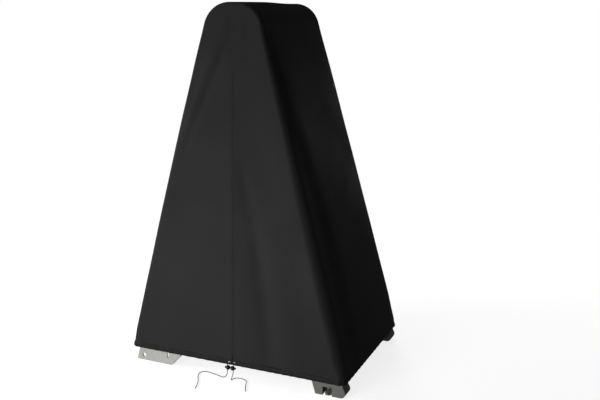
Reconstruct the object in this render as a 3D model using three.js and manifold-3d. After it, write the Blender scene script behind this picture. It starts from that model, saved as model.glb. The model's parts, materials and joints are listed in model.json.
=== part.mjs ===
// An A-frame pool ladder standing under its fitted fabric cover.
//
// Millimetres, +Z up, origin on the floor under the middle of the object. X runs across the A: the outer
// ladder stands at -X and the inner (pool side) ladder at +X. Y runs through the depth, and the cover's
// zipped front faces -Y. Front and back lean in a little, so the object is deepest at the floor.
//
// Four cover walls make an A with a round top. Each wall's own frame has x along the wall, y up its slope
// and z outwards, so a shape drawn on a wall is flat there, and its outer side is at z = 0.

import * as THREE from "three";
import { mergeVertices } from "three/addons/utils/BufferGeometryUtils.js";
import Module from "manifold-3d";

const wasm = await Module();
wasm.setup();

// ---- Driving dimensions ----

const COVER_TOP = 1930; // the cover's highest line
const HEM_BOTTOM = 75; // the cover stops this far above the floor
const BASE_HALF_WIDTH = 629; // along X, at the hem's lower edge
const TOP_HALF_WIDTH = 130; // where the straight sides would meet the top line
const BASE_HALF_DEPTH = 437.5; // along Y, at the hem's lower edge
const TOP_HALF_DEPTH = 357;
const ARCH_RADIUS = 140; // of the round shoulders, on the cover's outer side
const FABRIC = 3; // thickness that stands for the doubled, seamed fabric
const HEM_HEIGHT = 28;
const GAP = 0.4; // between pieces that touch

const PLATFORM_TOP = 1200;
const STEP_TOPS = [240, 480, 720, 960];
const STEP_THICKNESS = 35;
const STEP_DEPTH = 104;

const TUBE_RADIUS = 16;
const TUBE_WALL = 2;
const TUBE_INSET = 38; // from the cover's outer side to a tube's centre line

const HINGE_HEIGHT = 1700; // where the inner ladder turns on the handrails
const PIN_RADIUS = 5;

const APEX = 1525; // top of the zip, up the front wall's slope from the hem's lower edge
const FOLD_FOOT = 618; // half width between the two fold lines at the hem's lower edge
const CORD_RADIUS = 1.9;
const LOCK_X = 13; // the cord locks' centres, each side of the zip
const LOCK_RADIUS = 12;

// ---- Derived dimensions ----

const COVER_RISE = COVER_TOP - HEM_BOTTOM;
const SIDE_SLOPE = (BASE_HALF_WIDTH - TOP_HALF_WIDTH) / COVER_RISE;
const FACE_SLOPE = (BASE_HALF_DEPTH - TOP_HALF_DEPTH) / COVER_RISE;
const SIDE_LEAN = Math.atan(SIDE_SLOPE);
const FACE_LEAN = Math.atan(FACE_SLOPE);
const FOLD_SLOPE = FOLD_FOOT / APEX;
const SHOULDER_HEIGHT = COVER_TOP - ARCH_RADIUS;
const SHOULDER_X =
  BASE_HALF_WIDTH - (SHOULDER_HEIGHT - HEM_BOTTOM) * SIDE_SLOPE - ARCH_RADIUS / Math.cos(SIDE_LEAN);

/** The cover's half width at a height, on the straight part of its sides. */
function halfWidth(height) {
  return BASE_HALF_WIDTH - (height - HEM_BOTTOM) * SIDE_SLOPE;
}

/** The cover's half depth at a height. */
function halfDepth(height) {
  return BASE_HALF_DEPTH - (height - HEM_BOTTOM) * FACE_SLOPE;
}

/** Distance up the front or back wall's slope to a height. */
function upFace(height) {
  return (height - HEM_BOTTOM) / Math.cos(FACE_LEAN);
}

/** Distance up a side wall's slope to a height. */
function upSide(height) {
  return (height - HEM_BOTTOM) / Math.cos(SIDE_LEAN);
}

// ---- Materials ----

/** A plain material from a colour, a roughness and a metalness. */
function finish(color, roughness, metalness = 0) {
  return new THREE.MeshStandardMaterial({ color, roughness, metalness });
}

const BLACK_FABRIC = finish(0x262626, 0.85);
const HEM_FABRIC = finish(0x1c1c1c, 0.85);
const BLACK_CORD = finish(0x2c2c2c, 0.9);
const BLACK_PLASTIC = finish(0x141414, 0.4);
const LIGHT_RESIN = finish(0xc4c4c0, 0.5);
const WHITE_RESIN = finish(0xe6e5df, 0.45);
const DARK_RESIN = finish(0x77766f, 0.55);
const GUARD_RESIN = finish(0x4b4844, 0.6);
const MAT_RUBBER = finish(0x2b2c28, 0.9);
const ALUMINIUM = finish(0xb9b9b6, 0.35, 1);
const STEEL = finish(0xc8c8c6, 0.25, 1);

// ---- Solids ----

/** A geometry as a manifold-3d solid. */
function solidOf(geometry) {
  const bare = geometry.clone();
  bare.deleteAttribute("normal");
  bare.deleteAttribute("uv");
  const merged = mergeVertices(bare, 1e-4);
  const mesh = new wasm.Mesh({
    numProp: 3,
    vertProperties: merged.attributes.position.array,
    triVerts: new Uint32Array(merged.index.array),
  });
  return new wasm.Manifold(mesh);
}

/** A manifold-3d solid as a geometry. */
function geometryOf(solid) {
  const mesh = solid.getMesh();
  const geometry = new THREE.BufferGeometry();
  geometry.setAttribute("position", new THREE.BufferAttribute(mesh.vertProperties, 3));
  geometry.setIndex(new THREE.BufferAttribute(mesh.triVerts, 1));
  return geometry;
}

/** The first geometry with the others cut away. */
function cut(geometry, ...tools) {
  return geometryOf(tools.reduce((solid, tool) => solid.subtract(solidOf(tool)), solidOf(geometry)));
}

/** The geometries joined into one body. */
function join(first, ...others) {
  return geometryOf(others.reduce((solid, other) => solid.add(solidOf(other)), solidOf(first)));
}

/** A box between two corners. */
function boxBetween(low, high) {
  const size = high.map((value, i) => value - low[i]);
  const middle = high.map((value, i) => (value + low[i]) / 2);
  return new THREE.BoxGeometry(...size).translate(...middle);
}

/** A box on one side of a wall's middle, from its extents away from the middle, up and outwards. */
function sideBox(side, [near, far], [low, high], [behind, ahead]) {
  const x = [near * side, far * side].sort((a, b) => a - b);
  return boxBetween([x[0], low, behind], [x[1], high, ahead]);
}

/** A closed outline extruded from z = low to z = high. */
function plate(outline, low, high) {
  const shape = new THREE.Shape(outline);
  const geometry = new THREE.ExtrudeGeometry(shape, { depth: high - low, bevelEnabled: false });
  return geometry.translate(0, 0, low);
}

/** A cylinder between two points. */
function rod(start, end, radius, sides = 16) {
  const from = new THREE.Vector3(...start);
  const along = new THREE.Vector3(...end).sub(from);
  const geometry = new THREE.CylinderGeometry(radius, radius, along.length(), sides);
  const turn = new THREE.Quaternion().setFromUnitVectors(
    new THREE.Vector3(0, 1, 0),
    along.clone().normalize(),
  );
  return geometry.applyQuaternion(turn).translate(...from.addScaledVector(along, 0.5).toArray());
}

/** A path through listed points that an extrusion follows with one step from each point to the next. */
class Route extends THREE.Curve {
  constructor(points) {
    super();
    this.points = points;
  }

  getPoint(t, target = new THREE.Vector3()) {
    const place = Math.min(Math.max(t, 0), 1) * (this.points.length - 1);
    const index = Math.min(Math.floor(place), this.points.length - 2);
    return target.lerpVectors(this.points[index], this.points[index + 1], place - index);
  }

  getUtoTmapping(u) {
    return u;
  }
}

/** A round bar or, with a wall, a hollow tube that follows points. */
function tube(points, radius, wall = 0, quarterSides = 3) {
  const section = new THREE.Shape();
  section.absarc(0, 0, radius, 0, Math.PI * 2);
  if (wall > 0) {
    section.holes.push(new THREE.Path().absarc(0, 0, radius - wall, 0, Math.PI * 2, true));
  }
  return new THREE.ExtrudeGeometry(section, {
    steps: points.length - 1,
    curveSegments: quarterSides * 2,
    extrudePath: new Route(points),
  });
}

/** Points of an arc in a plane, from one angle to another in degrees. */
function arc(x, y, radius, from, to, steps) {
  return Array.from({ length: steps + 1 }, (_, i) => {
    const angle = THREE.MathUtils.degToRad(from + ((to - from) * i) / steps);
    return new THREE.Vector2(x + radius * Math.cos(angle), y + radius * Math.sin(angle));
  });
}

/** A straight-sided outline moved inwards, for one listed anticlockwise. */
function insetOutline(outline, distance) {
  const count = outline.length;
  return outline.map((corner, i) => {
    const before = corner.clone().sub(outline[(i + count - 1) % count]).normalize();
    const after = outline[(i + 1) % count].clone().sub(corner).normalize();
    const miter = new THREE.Vector2(-before.y - after.y, before.x + after.x).normalize();
    const share = distance / (-before.y * miter.x + before.x * miter.y);
    return corner.clone().addScaledVector(miter, share);
  });
}

/** The same outline mirrored left to right when side is -1. */
function facing(outline, side) {
  return outline.map((point) => new THREE.Vector2(point.x * side, point.y));
}

// ---- The scene ----

const object = new THREE.Group();

/** Adds a named piece to a group. */
function piece(parent, name, geometry, material) {
  const mesh = new THREE.Mesh(geometry, material);
  mesh.name = name;
  parent.add(mesh);
  return mesh;
}

/** A group lying on one wall of the cover: azimuth 0 is the front, 90 the +X side. */
function wall(azimuth, distance, lean) {
  const turned = new THREE.Group();
  turned.rotation.z = THREE.MathUtils.degToRad(azimuth);
  const leaning = new THREE.Group();
  leaning.position.set(0, -distance, HEM_BOTTOM);
  leaning.rotation.x = Math.PI / 2 - lean;
  turned.add(leaning);
  object.add(turned);
  return leaning;
}

const front = wall(0, BASE_HALF_DEPTH, FACE_LEAN);
const back = wall(180, BASE_HALF_DEPTH, FACE_LEAN);
const right = wall(90, BASE_HALF_WIDTH, SIDE_LEAN);
const left = wall(270, BASE_HALF_WIDTH, SIDE_LEAN);

// side is 1 on the front wall, whose x is the object's, and -1 on the back wall, whose x runs the other way.
const FACES = [
  { name: "front", group: front, side: 1, towards: -1 },
  { name: "back", group: back, side: -1, towards: 1 },
];

// ---- Cover walls ----

/** The A outline on the front or back wall, from its lower left corner over the top, moved in by inset. */
function archOutline(inset, bottom) {
  const foot = BASE_HALF_WIDTH - bottom * SIDE_SLOPE - inset / Math.cos(SIDE_LEAN);
  const lean = THREE.MathUtils.radToDeg(SIDE_LEAN);
  const shoulder = upFace(SHOULDER_HEIGHT);
  const radius = ARCH_RADIUS - inset;
  return [
    new THREE.Vector2(-foot, bottom),
    ...arc(-SHOULDER_X, shoulder, radius, 180 - lean, 90, 8),
    ...arc(SHOULDER_X, shoulder, radius, 90, lean, 8),
    new THREE.Vector2(foot, bottom),
  ];
}

/** Half the width between the fold lines, at a distance up the front wall. */
function foldX(up) {
  return (APEX - up) * FOLD_SLOPE;
}

const PANEL_BOTTOM = HEM_HEIGHT + GAP;
const FOLD_GAP = GAP / Math.cos(Math.atan(FOLD_SLOPE)); // across the fold line, measured along x

/** The back panel: a whole A. */
function backPanel() {
  piece(back, "cover_back_panel", plate(archOutline(0, PANEL_BOTTOM), -FABRIC, 0), BLACK_FABRIC);
}

/** The front above the fold lines: an A with the two flaps' triangle left out. */
function frontUpperPanel() {
  const foot = foldX(PANEL_BOTTOM) + FOLD_GAP;
  const outline = [
    ...archOutline(0, PANEL_BOTTOM),
    new THREE.Vector2(foot, PANEL_BOTTOM),
    new THREE.Vector2(0, APEX + FOLD_GAP / FOLD_SLOPE),
    new THREE.Vector2(-foot, PANEL_BOTTOM),
  ];
  piece(front, "cover_front_upper_panel", plate(outline, -FABRIC, 0), BLACK_FABRIC);
}

/** One sloping side wall, between the front and back panels. */
function sideGusset(group, name) {
  const top = SHOULDER_HEIGHT + ARCH_RADIUS * Math.sin(SIDE_LEAN) - GAP;
  const bottom = PANEL_BOTTOM / Math.cos(SIDE_LEAN) + FABRIC * Math.tan(SIDE_LEAN);
  const wide = halfDepth(HEM_BOTTOM + PANEL_BOTTOM) - FABRIC - 2 * GAP;
  const narrow = halfDepth(top) - FABRIC - 2 * GAP;
  const outline = [
    new THREE.Vector2(-wide, bottom),
    new THREE.Vector2(wide, bottom),
    new THREE.Vector2(narrow, upSide(top)),
    new THREE.Vector2(-narrow, upSide(top)),
  ];
  piece(group, name, plate(outline, -FABRIC, 0), BLACK_FABRIC);
}

/** The round top between the front and back panels. */
function topGusset() {
  const lean = THREE.MathUtils.radToDeg(SIDE_LEAN);
  const inner = ARCH_RADIUS - FABRIC;
  const outline = [
    ...arc(SHOULDER_X, SHOULDER_HEIGHT, ARCH_RADIUS, lean, 90, 8),
    ...arc(-SHOULDER_X, SHOULDER_HEIGHT, ARCH_RADIUS, 90, 180 - lean, 8),
    ...arc(-SHOULDER_X, SHOULDER_HEIGHT, inner, 180 - lean, 90, 8),
    ...arc(SHOULDER_X, SHOULDER_HEIGHT, inner, 90, lean, 8),
  ];
  const half = TOP_HALF_DEPTH - FABRIC - 2 * GAP;
  const mesh = piece(object, "cover_top_gusset", plate(outline, -half, half), BLACK_FABRIC);
  mesh.rotation.x = Math.PI / 2;
}

// ---- Hem and drawcord ----

const HEM_OUT = 3; // the hem stands this far proud of the fabric
const HEM_IN = 6; // and this far inside it
const HEM_SKIN = 1.6; // wall of the hem's channel
const HEM_END_X = 592; // where the hem round the sides meets the flaps' hems
const HEM_CORNER = 30; // radius of the hem's corners, seen from above
const FLAP_EDGE = 4; // from the zip's line to a flap's edge
const HEM_GAP = 8; // from the zip's line to a flap hem's end

/** A rectangle with round corners, seen from above, anticlockwise. */
function roundedRectangle(halfX, halfY, radius) {
  const x = halfX - radius;
  const y = halfY - radius;
  return [
    ...arc(x, y, radius, 0, 90, 4),
    ...arc(-x, y, radius, 90, 180, 4),
    ...arc(-x, -y, radius, 180, 270, 4),
    ...arc(x, -y, radius, 270, 360, 4),
  ];
}

/** A band that follows the hem's rectangle, with its front open between the two flap hems. */
function hemBand(outer, inner, low, high, openHalf) {
  const outside = plate(
    roundedRectangle(BASE_HALF_WIDTH + outer, BASE_HALF_DEPTH + outer, HEM_CORNER + outer),
    low,
    high,
  );
  const inside = plate(
    roundedRectangle(BASE_HALF_WIDTH - inner, BASE_HALF_DEPTH - inner, HEM_CORNER - inner),
    low - 1,
    high + 1,
  );
  const opening = boxBetween(
    [-openHalf, -BASE_HALF_DEPTH - 50, low - 2],
    [openHalf, -BASE_HALF_DEPTH + 50, high + 2],
  );
  return cut(outside, inside, opening);
}

/** The hem round both sides and the back, a flat channel with the drawcord inside it. */
function sideHem() {
  const top = HEM_BOTTOM + HEM_HEIGHT;
  const band = hemBand(HEM_OUT, HEM_IN, HEM_BOTTOM, top, HEM_END_X);
  const channel = hemBand(
    HEM_OUT - HEM_SKIN,
    HEM_IN - HEM_SKIN,
    HEM_BOTTOM + HEM_SKIN,
    top - HEM_SKIN,
    HEM_END_X - 2,
  );
  piece(object, "hem_channel", cut(band, channel), HEM_FABRIC);
}

/** The drawcord in that channel. */
function sideDrawcord() {
  const middle = (HEM_IN - HEM_OUT) / 2;
  const height = HEM_BOTTOM + HEM_HEIGHT / 2;
  const corner = HEM_CORNER - middle;
  const loop = roundedRectangle(BASE_HALF_WIDTH - middle, BASE_HALF_DEPTH - middle, corner);
  const bend = 5; // points in each corner
  const open = [
    new THREE.Vector2(HEM_END_X, -BASE_HALF_DEPTH + middle),
    ...loop.slice(3 * bend),
    ...loop.slice(0, 3 * bend),
    new THREE.Vector2(-HEM_END_X, -BASE_HALF_DEPTH + middle),
  ];
  const points = open.map((point) => new THREE.Vector3(point.x, point.y, height));
  piece(object, "hem_drawcord", tube(points, CORD_RADIUS, 0, 2), BLACK_CORD);
}

/** One flap's hem, with a hole in its front for the cord. */
function flapHem(name, side) {
  const from = HEM_END_X - 2 * GAP;
  const hem = sideBox(side, [HEM_GAP, from], [0, HEM_HEIGHT], [-HEM_IN, HEM_OUT]);
  const channel = sideBox(
    side,
    [HEM_GAP - 1, from + 1],
    [HEM_SKIN, HEM_HEIGHT - HEM_SKIN],
    [HEM_SKIN - HEM_IN, HEM_OUT - HEM_SKIN],
  );
  const x = CORD_X * side;
  const eyelet = rod([x, HEM_HEIGHT / 2, 0], [x, HEM_HEIGHT / 2, 9], EYELET_HOLE + GAP);
  piece(front, `${name}_flap_hem`, cut(hem, channel, eyelet), HEM_FABRIC);
}

// ---- Flaps, zip, cord locks ----

const CORD_X = LOCK_X + 4; // each cord runs beside its lock's middle
const EYELET_HOLE = 3;
const ZIP_BOTTOM = 47; // the coils start just above the closed slider
const ZIP_TOP = 1440;
const TAPE_WIDTH = 14;
const TAPE_FRONT = -FABRIC - GAP;
const TAPE_BACK = TAPE_FRONT - 1.2;
const COIL_BACK = TAPE_BACK - 2.6;

/** A flap: the triangle between the zip, the hem and a fold line, clear of the side hem where it turns. */
function flapPanel(name, side) {
  const inner = FLAP_EDGE;
  const outline = [
    new THREE.Vector2(inner, PANEL_BOTTOM),
    new THREE.Vector2(HEM_END_X - 4, PANEL_BOTTOM),
    new THREE.Vector2(foldX(PANEL_BOTTOM + 10) - FOLD_GAP, PANEL_BOTTOM + 10),
    new THREE.Vector2(inner, APEX - (inner + FOLD_GAP) / FOLD_SLOPE),
  ];
  piece(front, `cover_${name}_flap`, plate(facing(outline, side), -FABRIC, 0), BLACK_FABRIC);
}

/** The drawcord inside one flap's hem. */
function flapDrawcord(name, side) {
  const depth = (HEM_OUT - HEM_IN) / 2;
  const points = [CORD_X + 6, HEM_END_X - 3].map(
    (x) => new THREE.Vector3(x * side, HEM_HEIGHT / 2, depth),
  );
  piece(front, `${name}_flap_drawcord`, tube(points, CORD_RADIUS, 0, 2), BLACK_CORD);
}

/** Half of the zip: its tape behind the fabric and its coil behind the tape. */
function zipHalf(name, side) {
  const tape = sideBox(side, [1, TAPE_WIDTH], [ZIP_BOTTOM, ZIP_TOP], [TAPE_BACK, TAPE_FRONT]);
  const coil = sideBox(side, [1, 4.2], [ZIP_BOTTOM, ZIP_TOP], [COIL_BACK, TAPE_BACK - GAP]);
  piece(front, `${name}_zip_tape`, tape, HEM_FABRIC);
  piece(front, `${name}_zip_coil`, coil, BLACK_PLASTIC);
}

/** The stop above the zip, on the back of the upper panel. */
function zipTopStop() {
  const low = [-4, APEX + 8, TAPE_BACK - 2];
  const high = [4, APEX + 20, TAPE_FRONT];
  piece(front, "zip_top_stop", boxBetween(low, high), BLACK_PLASTIC);
}

const SLIDER_BOTTOM = 18;
const SLIDER_TOP = 46;
const SLIDER_PLATE = 1.4;
const BAIL_UP = 36; // the pull tab's axis, up the wall
const BAIL_OUT = 1.2; // and out from it

/** The slider: a plate each side of the coils, joined below them, and a bail for its pull tab. */
function zipSlider() {
  const frontFace = TAPE_FRONT + GAP + SLIDER_PLATE;
  const backFace = COIL_BACK - GAP - SLIDER_PLATE;
  const face = boxBetween([-3.4, SLIDER_BOTTOM, frontFace - SLIDER_PLATE], [3.4, SLIDER_TOP, frontFace]);
  const rear = boxBetween([-6, SLIDER_BOTTOM, backFace], [6, SLIDER_TOP, backFace + SLIDER_PLATE]);
  const divider = boxBetween([-0.6, SLIDER_BOTTOM, backFace], [0.6, SLIDER_BOTTOM + 8, frontFace]);
  const bail = boxBetween([-1.2, BAIL_UP - 7, frontFace - 0.5], [1.2, BAIL_UP + 7, 4]);
  const eye = boxBetween([-2, BAIL_UP - 4, frontFace], [2, BAIL_UP + 4, 2.8]);
  piece(front, "zip_slider", join(face, rear, divider, cut(bail, eye)), BLACK_PLASTIC);
}

/** The pull tab, hanging from the bail. */
function zipPullTab() {
  const outline = [
    ...arc(0, BAIL_UP - 3, 4.2, 0, 180, 6),
    new THREE.Vector2(-3.2, BAIL_UP - 34),
    new THREE.Vector2(3.2, BAIL_UP - 34),
  ];
  const tab = plate(outline, BAIL_OUT - 0.7, BAIL_OUT + 0.7);
  const slot = boxBetween([-2, BAIL_UP - 13, -5], [2, BAIL_UP - 1, 5]);
  piece(front, "zip_pull_tab", cut(tab, slot), BLACK_PLASTIC);
}

/** The ring where a cord leaves its flap's hem. */
function eyelet(name, side) {
  const height = HEM_HEIGHT / 2;
  const low = HEM_OUT + GAP;
  const ring = rod([CORD_X * side, height, low], [CORD_X * side, height, low + 1.5], 6.5, 20);
  const hole = rod([CORD_X * side, height, 0], [CORD_X * side, height, 9], EYELET_HOLE, 16);
  piece(front, `${name}_eyelet`, cut(ring, hole), STEEL);
}

const LOCK_Y = -460;
const LOCK_HEIGHT = 70;
const LOCK_BORE = 6.2;
const BUTTON_RADIUS = 5.8;
const BUTTON_TRAVEL = 4.5;
const SPRING_FLOOR = -9.4;
const BUTTON_FOOT = -1.7;

/** A frame at one cord lock: z along the button's way out, so the lock is turned about it. */
function lockFrame(side) {
  const frame = new THREE.Group();
  frame.position.set(LOCK_X * side, LOCK_Y, LOCK_HEIGHT);
  frame.rotation.y = (side * Math.PI) / 2;
  object.add(frame);
  return frame;
}

/** One spring cord lock: a ball with a bore, its sprung button and the spring. */
function cordLock(name, side) {
  const frame = lockFrame(side);
  const cordAt = CORD_X - LOCK_X;
  const profile = arc(0, 0, LOCK_RADIUS, -90, 90, 8).map((p) => new THREE.Vector2(Math.abs(p.x), p.y));
  const ball = new THREE.LatheGeometry(profile, 16).rotateX(Math.PI / 2);
  const bore = rod([0, 0, SPRING_FLOOR - 0.2], [0, 0, LOCK_RADIUS + 2], LOCK_BORE, 16);
  const cordHole = rod([-20, 0, cordAt], [20, 0, cordAt], CORD_RADIUS + 0.7, 12);
  piece(frame, `${name}_cord_lock_ball`, cut(ball, bore, cordHole), BLACK_PLASTIC);

  const button = rod([0, 0, BUTTON_FOOT], [0, 0, LOCK_RADIUS + 5.5], BUTTON_RADIUS, 16);
  const clamp = CORD_RADIUS + GAP;
  const slot = boxBetween([-9, -clamp, cordAt - clamp], [9, clamp, cordAt + clamp + BUTTON_TRAVEL]);
  piece(frame, `${name}_cord_lock_button`, cut(button, slot), BLACK_PLASTIC);

  const turns = 3;
  const stepsPerTurn = 10;
  const wire = 0.45;
  const low = SPRING_FLOOR + wire + 0.2;
  const rise = BUTTON_FOOT - wire - 0.2 - low;
  const helix = Array.from({ length: turns * stepsPerTurn + 1 }, (_, i) => {
    const angle = (i / stepsPerTurn) * 2 * Math.PI;
    const height = low + (rise * i) / (turns * stepsPerTurn);
    return new THREE.Vector3(4 * Math.cos(angle), 4 * Math.sin(angle), height);
  });
  piece(frame, `${name}_cord_lock_spring`, tube(helix, wire, 0, 1.5), STEEL);
}

// The free ends of the drawcord, from inside the eyelet, down through the lock and along the floor.
const LEFT_TAIL = [
  [-17, -437, 89],
  [-17, -443, 89],
  [-17, -449, 89],
  [-17, -454.5, 87.5],
  [-17, -458.5, 83.5],
  [-17, -460, 78],
  [-17, -460, 70],
  [-17, -460, 61],
  [-17.3, -460, 51],
  [-18.5, -460.5, 40],
  [-21.5, -461, 29],
  [-28, -460, 18],
  [-39, -456, 9],
  [-55, -450, 3.6],
  [-76, -443, 2.1],
  [-100, -437, 2.1],
  [-127, -431, 2.1],
  [-153, -426.5, 2.1],
  [-174, -427.5, 2.1],
  [-187, -438, 2.1],
  [-191, -455, 2.1],
  [-186, -475, 2.1],
  [-176, -497, 2.1],
  [-162, -519, 2.1],
  [-149, -542, 2.1],
  [-138, -567, 2.1],
  [-129, -593, 2.1],
  [-121, -618, 2.1],
];
const RIGHT_TAIL = [
  [17, -437, 89],
  [17, -443, 89],
  [17, -449, 89],
  [17, -454.5, 87.5],
  [17, -458.5, 83.5],
  [17, -460, 78],
  [17, -460, 70],
  [17, -460, 61],
  [16.8, -460, 51],
  [16, -461, 41],
  [14.4, -463.5, 31],
  [12.2, -467, 21.5],
  [10, -469, 13.2],
  [8.4, -467.5, 7],
  [7.2, -462, 3],
  [6.5, -454, 2.1],
  [8, -444, 2.1],
  [13.5, -435, 2.1],
  [23, -429, 2.1],
  [35, -426.5, 2.1],
  [49, -426.5, 2.1],
  [64, -430, 2.1],
  [78, -438.5, 2.1],
  [88, -452, 2.1],
  [95, -469, 2.1],
  [102, -488, 2.1],
  [111, -507, 2.1],
  [121, -527, 2.1],
  [131, -546, 2.1],
];

/** One free end of the drawcord. */
function cordTail(name, route) {
  const curve = new THREE.CatmullRomCurve3(
    route.map((point) => new THREE.Vector3(...point)),
    false,
    "catmullrom",
    0.5,
  );
  const points = curve.getPoints((route.length - 1) * 2);
  piece(object, `${name}_cord_tail`, tube(points, CORD_RADIUS, 0, 2), BLACK_CORD);
}

// ---- Outer ladder ----

const PANEL_FACE = 12; // from the cover's outer side to a side panel's outer side
const PANEL_THICKNESS = 24;
const PANEL_WEB = 10;
const PANEL_RIM = 12;
const PANEL_TOP = 1250;
const OUTER_FOOT_X = 604;
const OUTER_TOP_X = 300;
const OUTER_SLOPE = (OUTER_FOOT_X - OUTER_TOP_X) / PANEL_TOP;
const GUARD_X = 130; // from the panel's outer edge to the climb guard
const SOCKET_FOOT = 1130; // the handrail stands in the side panel from here up
const SOCKET_HALF = 23;

/** The outer edge of the outer ladder's side panels at a height. */
function outerEdge(height) {
  return -OUTER_FOOT_X + height * OUTER_SLOPE;
}

/** A side panel: a wedge with a cut corner at its foot, hollowed from inside, and a handrail's socket. */
function sidePanel({ name, group, side }) {
  const outer = -PANEL_FACE;
  const inner = outer - PANEL_THICKNESS;
  const foot = upFace(-5);
  const outline = [
    new THREE.Vector2(outerEdge(-5), foot),
    new THREE.Vector2(-390, foot),
    new THREE.Vector2(-322, upFace(65)),
    new THREE.Vector2(-205, upFace(PANEL_TOP)),
    new THREE.Vector2(outerEdge(PANEL_TOP), upFace(PANEL_TOP)),
  ];
  const solid = plate(facing(outline, side), inner, outer);
  const pocket = plate(facing(insetOutline(outline, PANEL_RIM), side), inner - 1, outer - PANEL_WEB);
  const holeX = -557 * side;
  const hole = rod([holeX, upFace(30), -60], [holeX, upFace(30), 0], 11, 16);
  const slotX = -406 * side;
  const slot = boxBetween([slotX - 5, upFace(40), -60], [slotX + 5, upFace(84), 0]);
  const socketFoot = railPoint(SOCKET_FOOT, -1, side);
  const socketTop = railPoint(PANEL_TOP + 20, -1, side);
  const bossCorner = (x, height) => new THREE.Vector2(x, upFace(height));
  const low = SOCKET_FOOT - 12;
  const bossOutline = [
    bossCorner(outerEdge(low), low),
    bossCorner(SOCKET_HALF - railX(low), low),
    bossCorner(SOCKET_HALF - railX(PANEL_TOP), PANEL_TOP),
    bossCorner(outerEdge(PANEL_TOP), PANEL_TOP),
  ];
  const boss = plate(facing(bossOutline, side), -TUBE_INSET - TUBE_RADIUS - 5, outer);
  const socket = rod(socketFoot.toArray(), socketTop.toArray(), TUBE_RADIUS + GAP, 16);
  const belowFloor = boxBetween([-700, -100, -200], [700, 0, 200]);
  belowFloor.rotateX(FACE_LEAN).translate(0, upFace(0), 0);
  const panel = join(cut(solid, pocket, hole, slot, belowFloor), boss);
  piece(group, `outer_side_panel_${name}`, cut(panel, socket), LIGHT_RESIN);
}

/** One tread of the outer ladder, its ends in the side panels' hollows. */
function outerStep(top, index) {
  const x = outerEdge(top) + 15.3;
  const half = halfDepth(top) - PANEL_FACE - PANEL_WEB - 2 * GAP;
  const tread = boxBetween([x, -half, top - STEP_THICKNESS], [x + STEP_DEPTH, half, top]);
  const hollow = boxBetween(
    [x + 8, -half + 8, top - STEP_THICKNESS - 1],
    [x + STEP_DEPTH - 8, half - 8, top - 8],
  );
  piece(object, `outer_step_${index + 1}`, cut(tread, hollow), DARK_RESIN);
}

/** The slotted panel behind the outer treads, which stops a child climbing through. */
function climbGuard() {
  const low = 120;
  const high = 1150;
  const lean = Math.atan(OUTER_SLOPE);
  const group = new THREE.Group();
  group.rotation.z = -Math.PI / 2;
  const leaning = new THREE.Group();
  leaning.position.set(0, outerEdge(0) + GUARD_X, 0);
  leaning.rotation.x = Math.PI / 2 - lean;
  group.add(leaning);
  object.add(group);

  const along = (height) => height / Math.cos(lean);
  const half = (height) => halfDepth(height) - PANEL_FACE - PANEL_THICKNESS - 3;
  const outline = [
    new THREE.Vector2(-half(low), along(low)),
    new THREE.Vector2(half(low), along(low)),
    new THREE.Vector2(half(high), along(high)),
    new THREE.Vector2(-half(high), along(high)),
  ];
  const slotHalf = 9;
  const pitch = 68;
  const slots = STEP_TOPS.flatMap((top) =>
    [-4, -3, -2, -1, 0, 1, 2, 3, 4].map((column) => {
      const x = column * pitch;
      return boxBetween([x - slotHalf, along(top + 20), -9], [x + slotHalf, along(top + 175), 3]);
    }),
  );
  const geometry = cut(plate(outline, -6, 0), ...slots);
  piece(leaning, "climb_guard_panel", geometry, GUARD_RESIN);
}

// ---- Platform ----

const DECK_THICKNESS = 35;
const MAT_THICKNESS = 3;
const DECK_LEFT = -290;
const DECK_TABS = [-250, -212]; // the deck's tabs reach between the side panels' rims here
const DECK_RIGHT = 285;
const DECK_HALF = 325;

/** The platform's deck, a tray turned upside down. */
function platformDeck() {
  const wide = halfDepth(PLATFORM_TOP) - PANEL_FACE - PANEL_THICKNESS - 2;
  const outline = [
    new THREE.Vector2(DECK_LEFT, -DECK_HALF),
    new THREE.Vector2(DECK_TABS[0], -DECK_HALF),
    new THREE.Vector2(DECK_TABS[0], -wide),
    new THREE.Vector2(DECK_TABS[1], -wide),
    new THREE.Vector2(DECK_TABS[1], -DECK_HALF),
    ...arc(DECK_RIGHT - 30, -DECK_HALF + 30, 30, -90, 0, 4),
    ...arc(DECK_RIGHT - 30, DECK_HALF - 30, 30, 0, 90, 4),
    new THREE.Vector2(DECK_TABS[1], DECK_HALF),
    new THREE.Vector2(DECK_TABS[1], wide),
    new THREE.Vector2(DECK_TABS[0], wide),
    new THREE.Vector2(DECK_TABS[0], DECK_HALF),
    new THREE.Vector2(DECK_LEFT, DECK_HALF),
  ];
  const top = PLATFORM_TOP - MAT_THICKNESS - GAP;
  const deck = plate(outline, top - DECK_THICKNESS, top);
  const hollow = boxBetween(
    [DECK_LEFT + 14, -DECK_HALF + 14, top - DECK_THICKNESS - 1],
    [DECK_RIGHT - 14, DECK_HALF - 14, top - 8],
  );
  piece(object, "platform_deck", cut(deck, hollow), WHITE_RESIN);
}

/** The non-slip mat on the deck. */
function platformMat() {
  const low = [DECK_LEFT + 18, -DECK_HALF + 16, PLATFORM_TOP - MAT_THICKNESS];
  const high = [DECK_RIGHT - 18, DECK_HALF - 16, PLATFORM_TOP];
  piece(object, "platform_mat", boxBetween(low, high), MAT_RUBBER);
}

// ---- Handrails and the inner ladder ----

/** The tube line's distance from the middle at a height, on the straight part of the sides. */
function railX(height) {
  return halfWidth(height) - TUBE_INSET / Math.cos(SIDE_LEAN);
}

/** A point of the tube line at a height, in a front or back wall's frame; left is -1 for the -X side. */
function railPoint(height, left, side) {
  return new THREE.Vector3(railX(height) * left * side, upFace(height), -TUBE_INSET);
}

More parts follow.
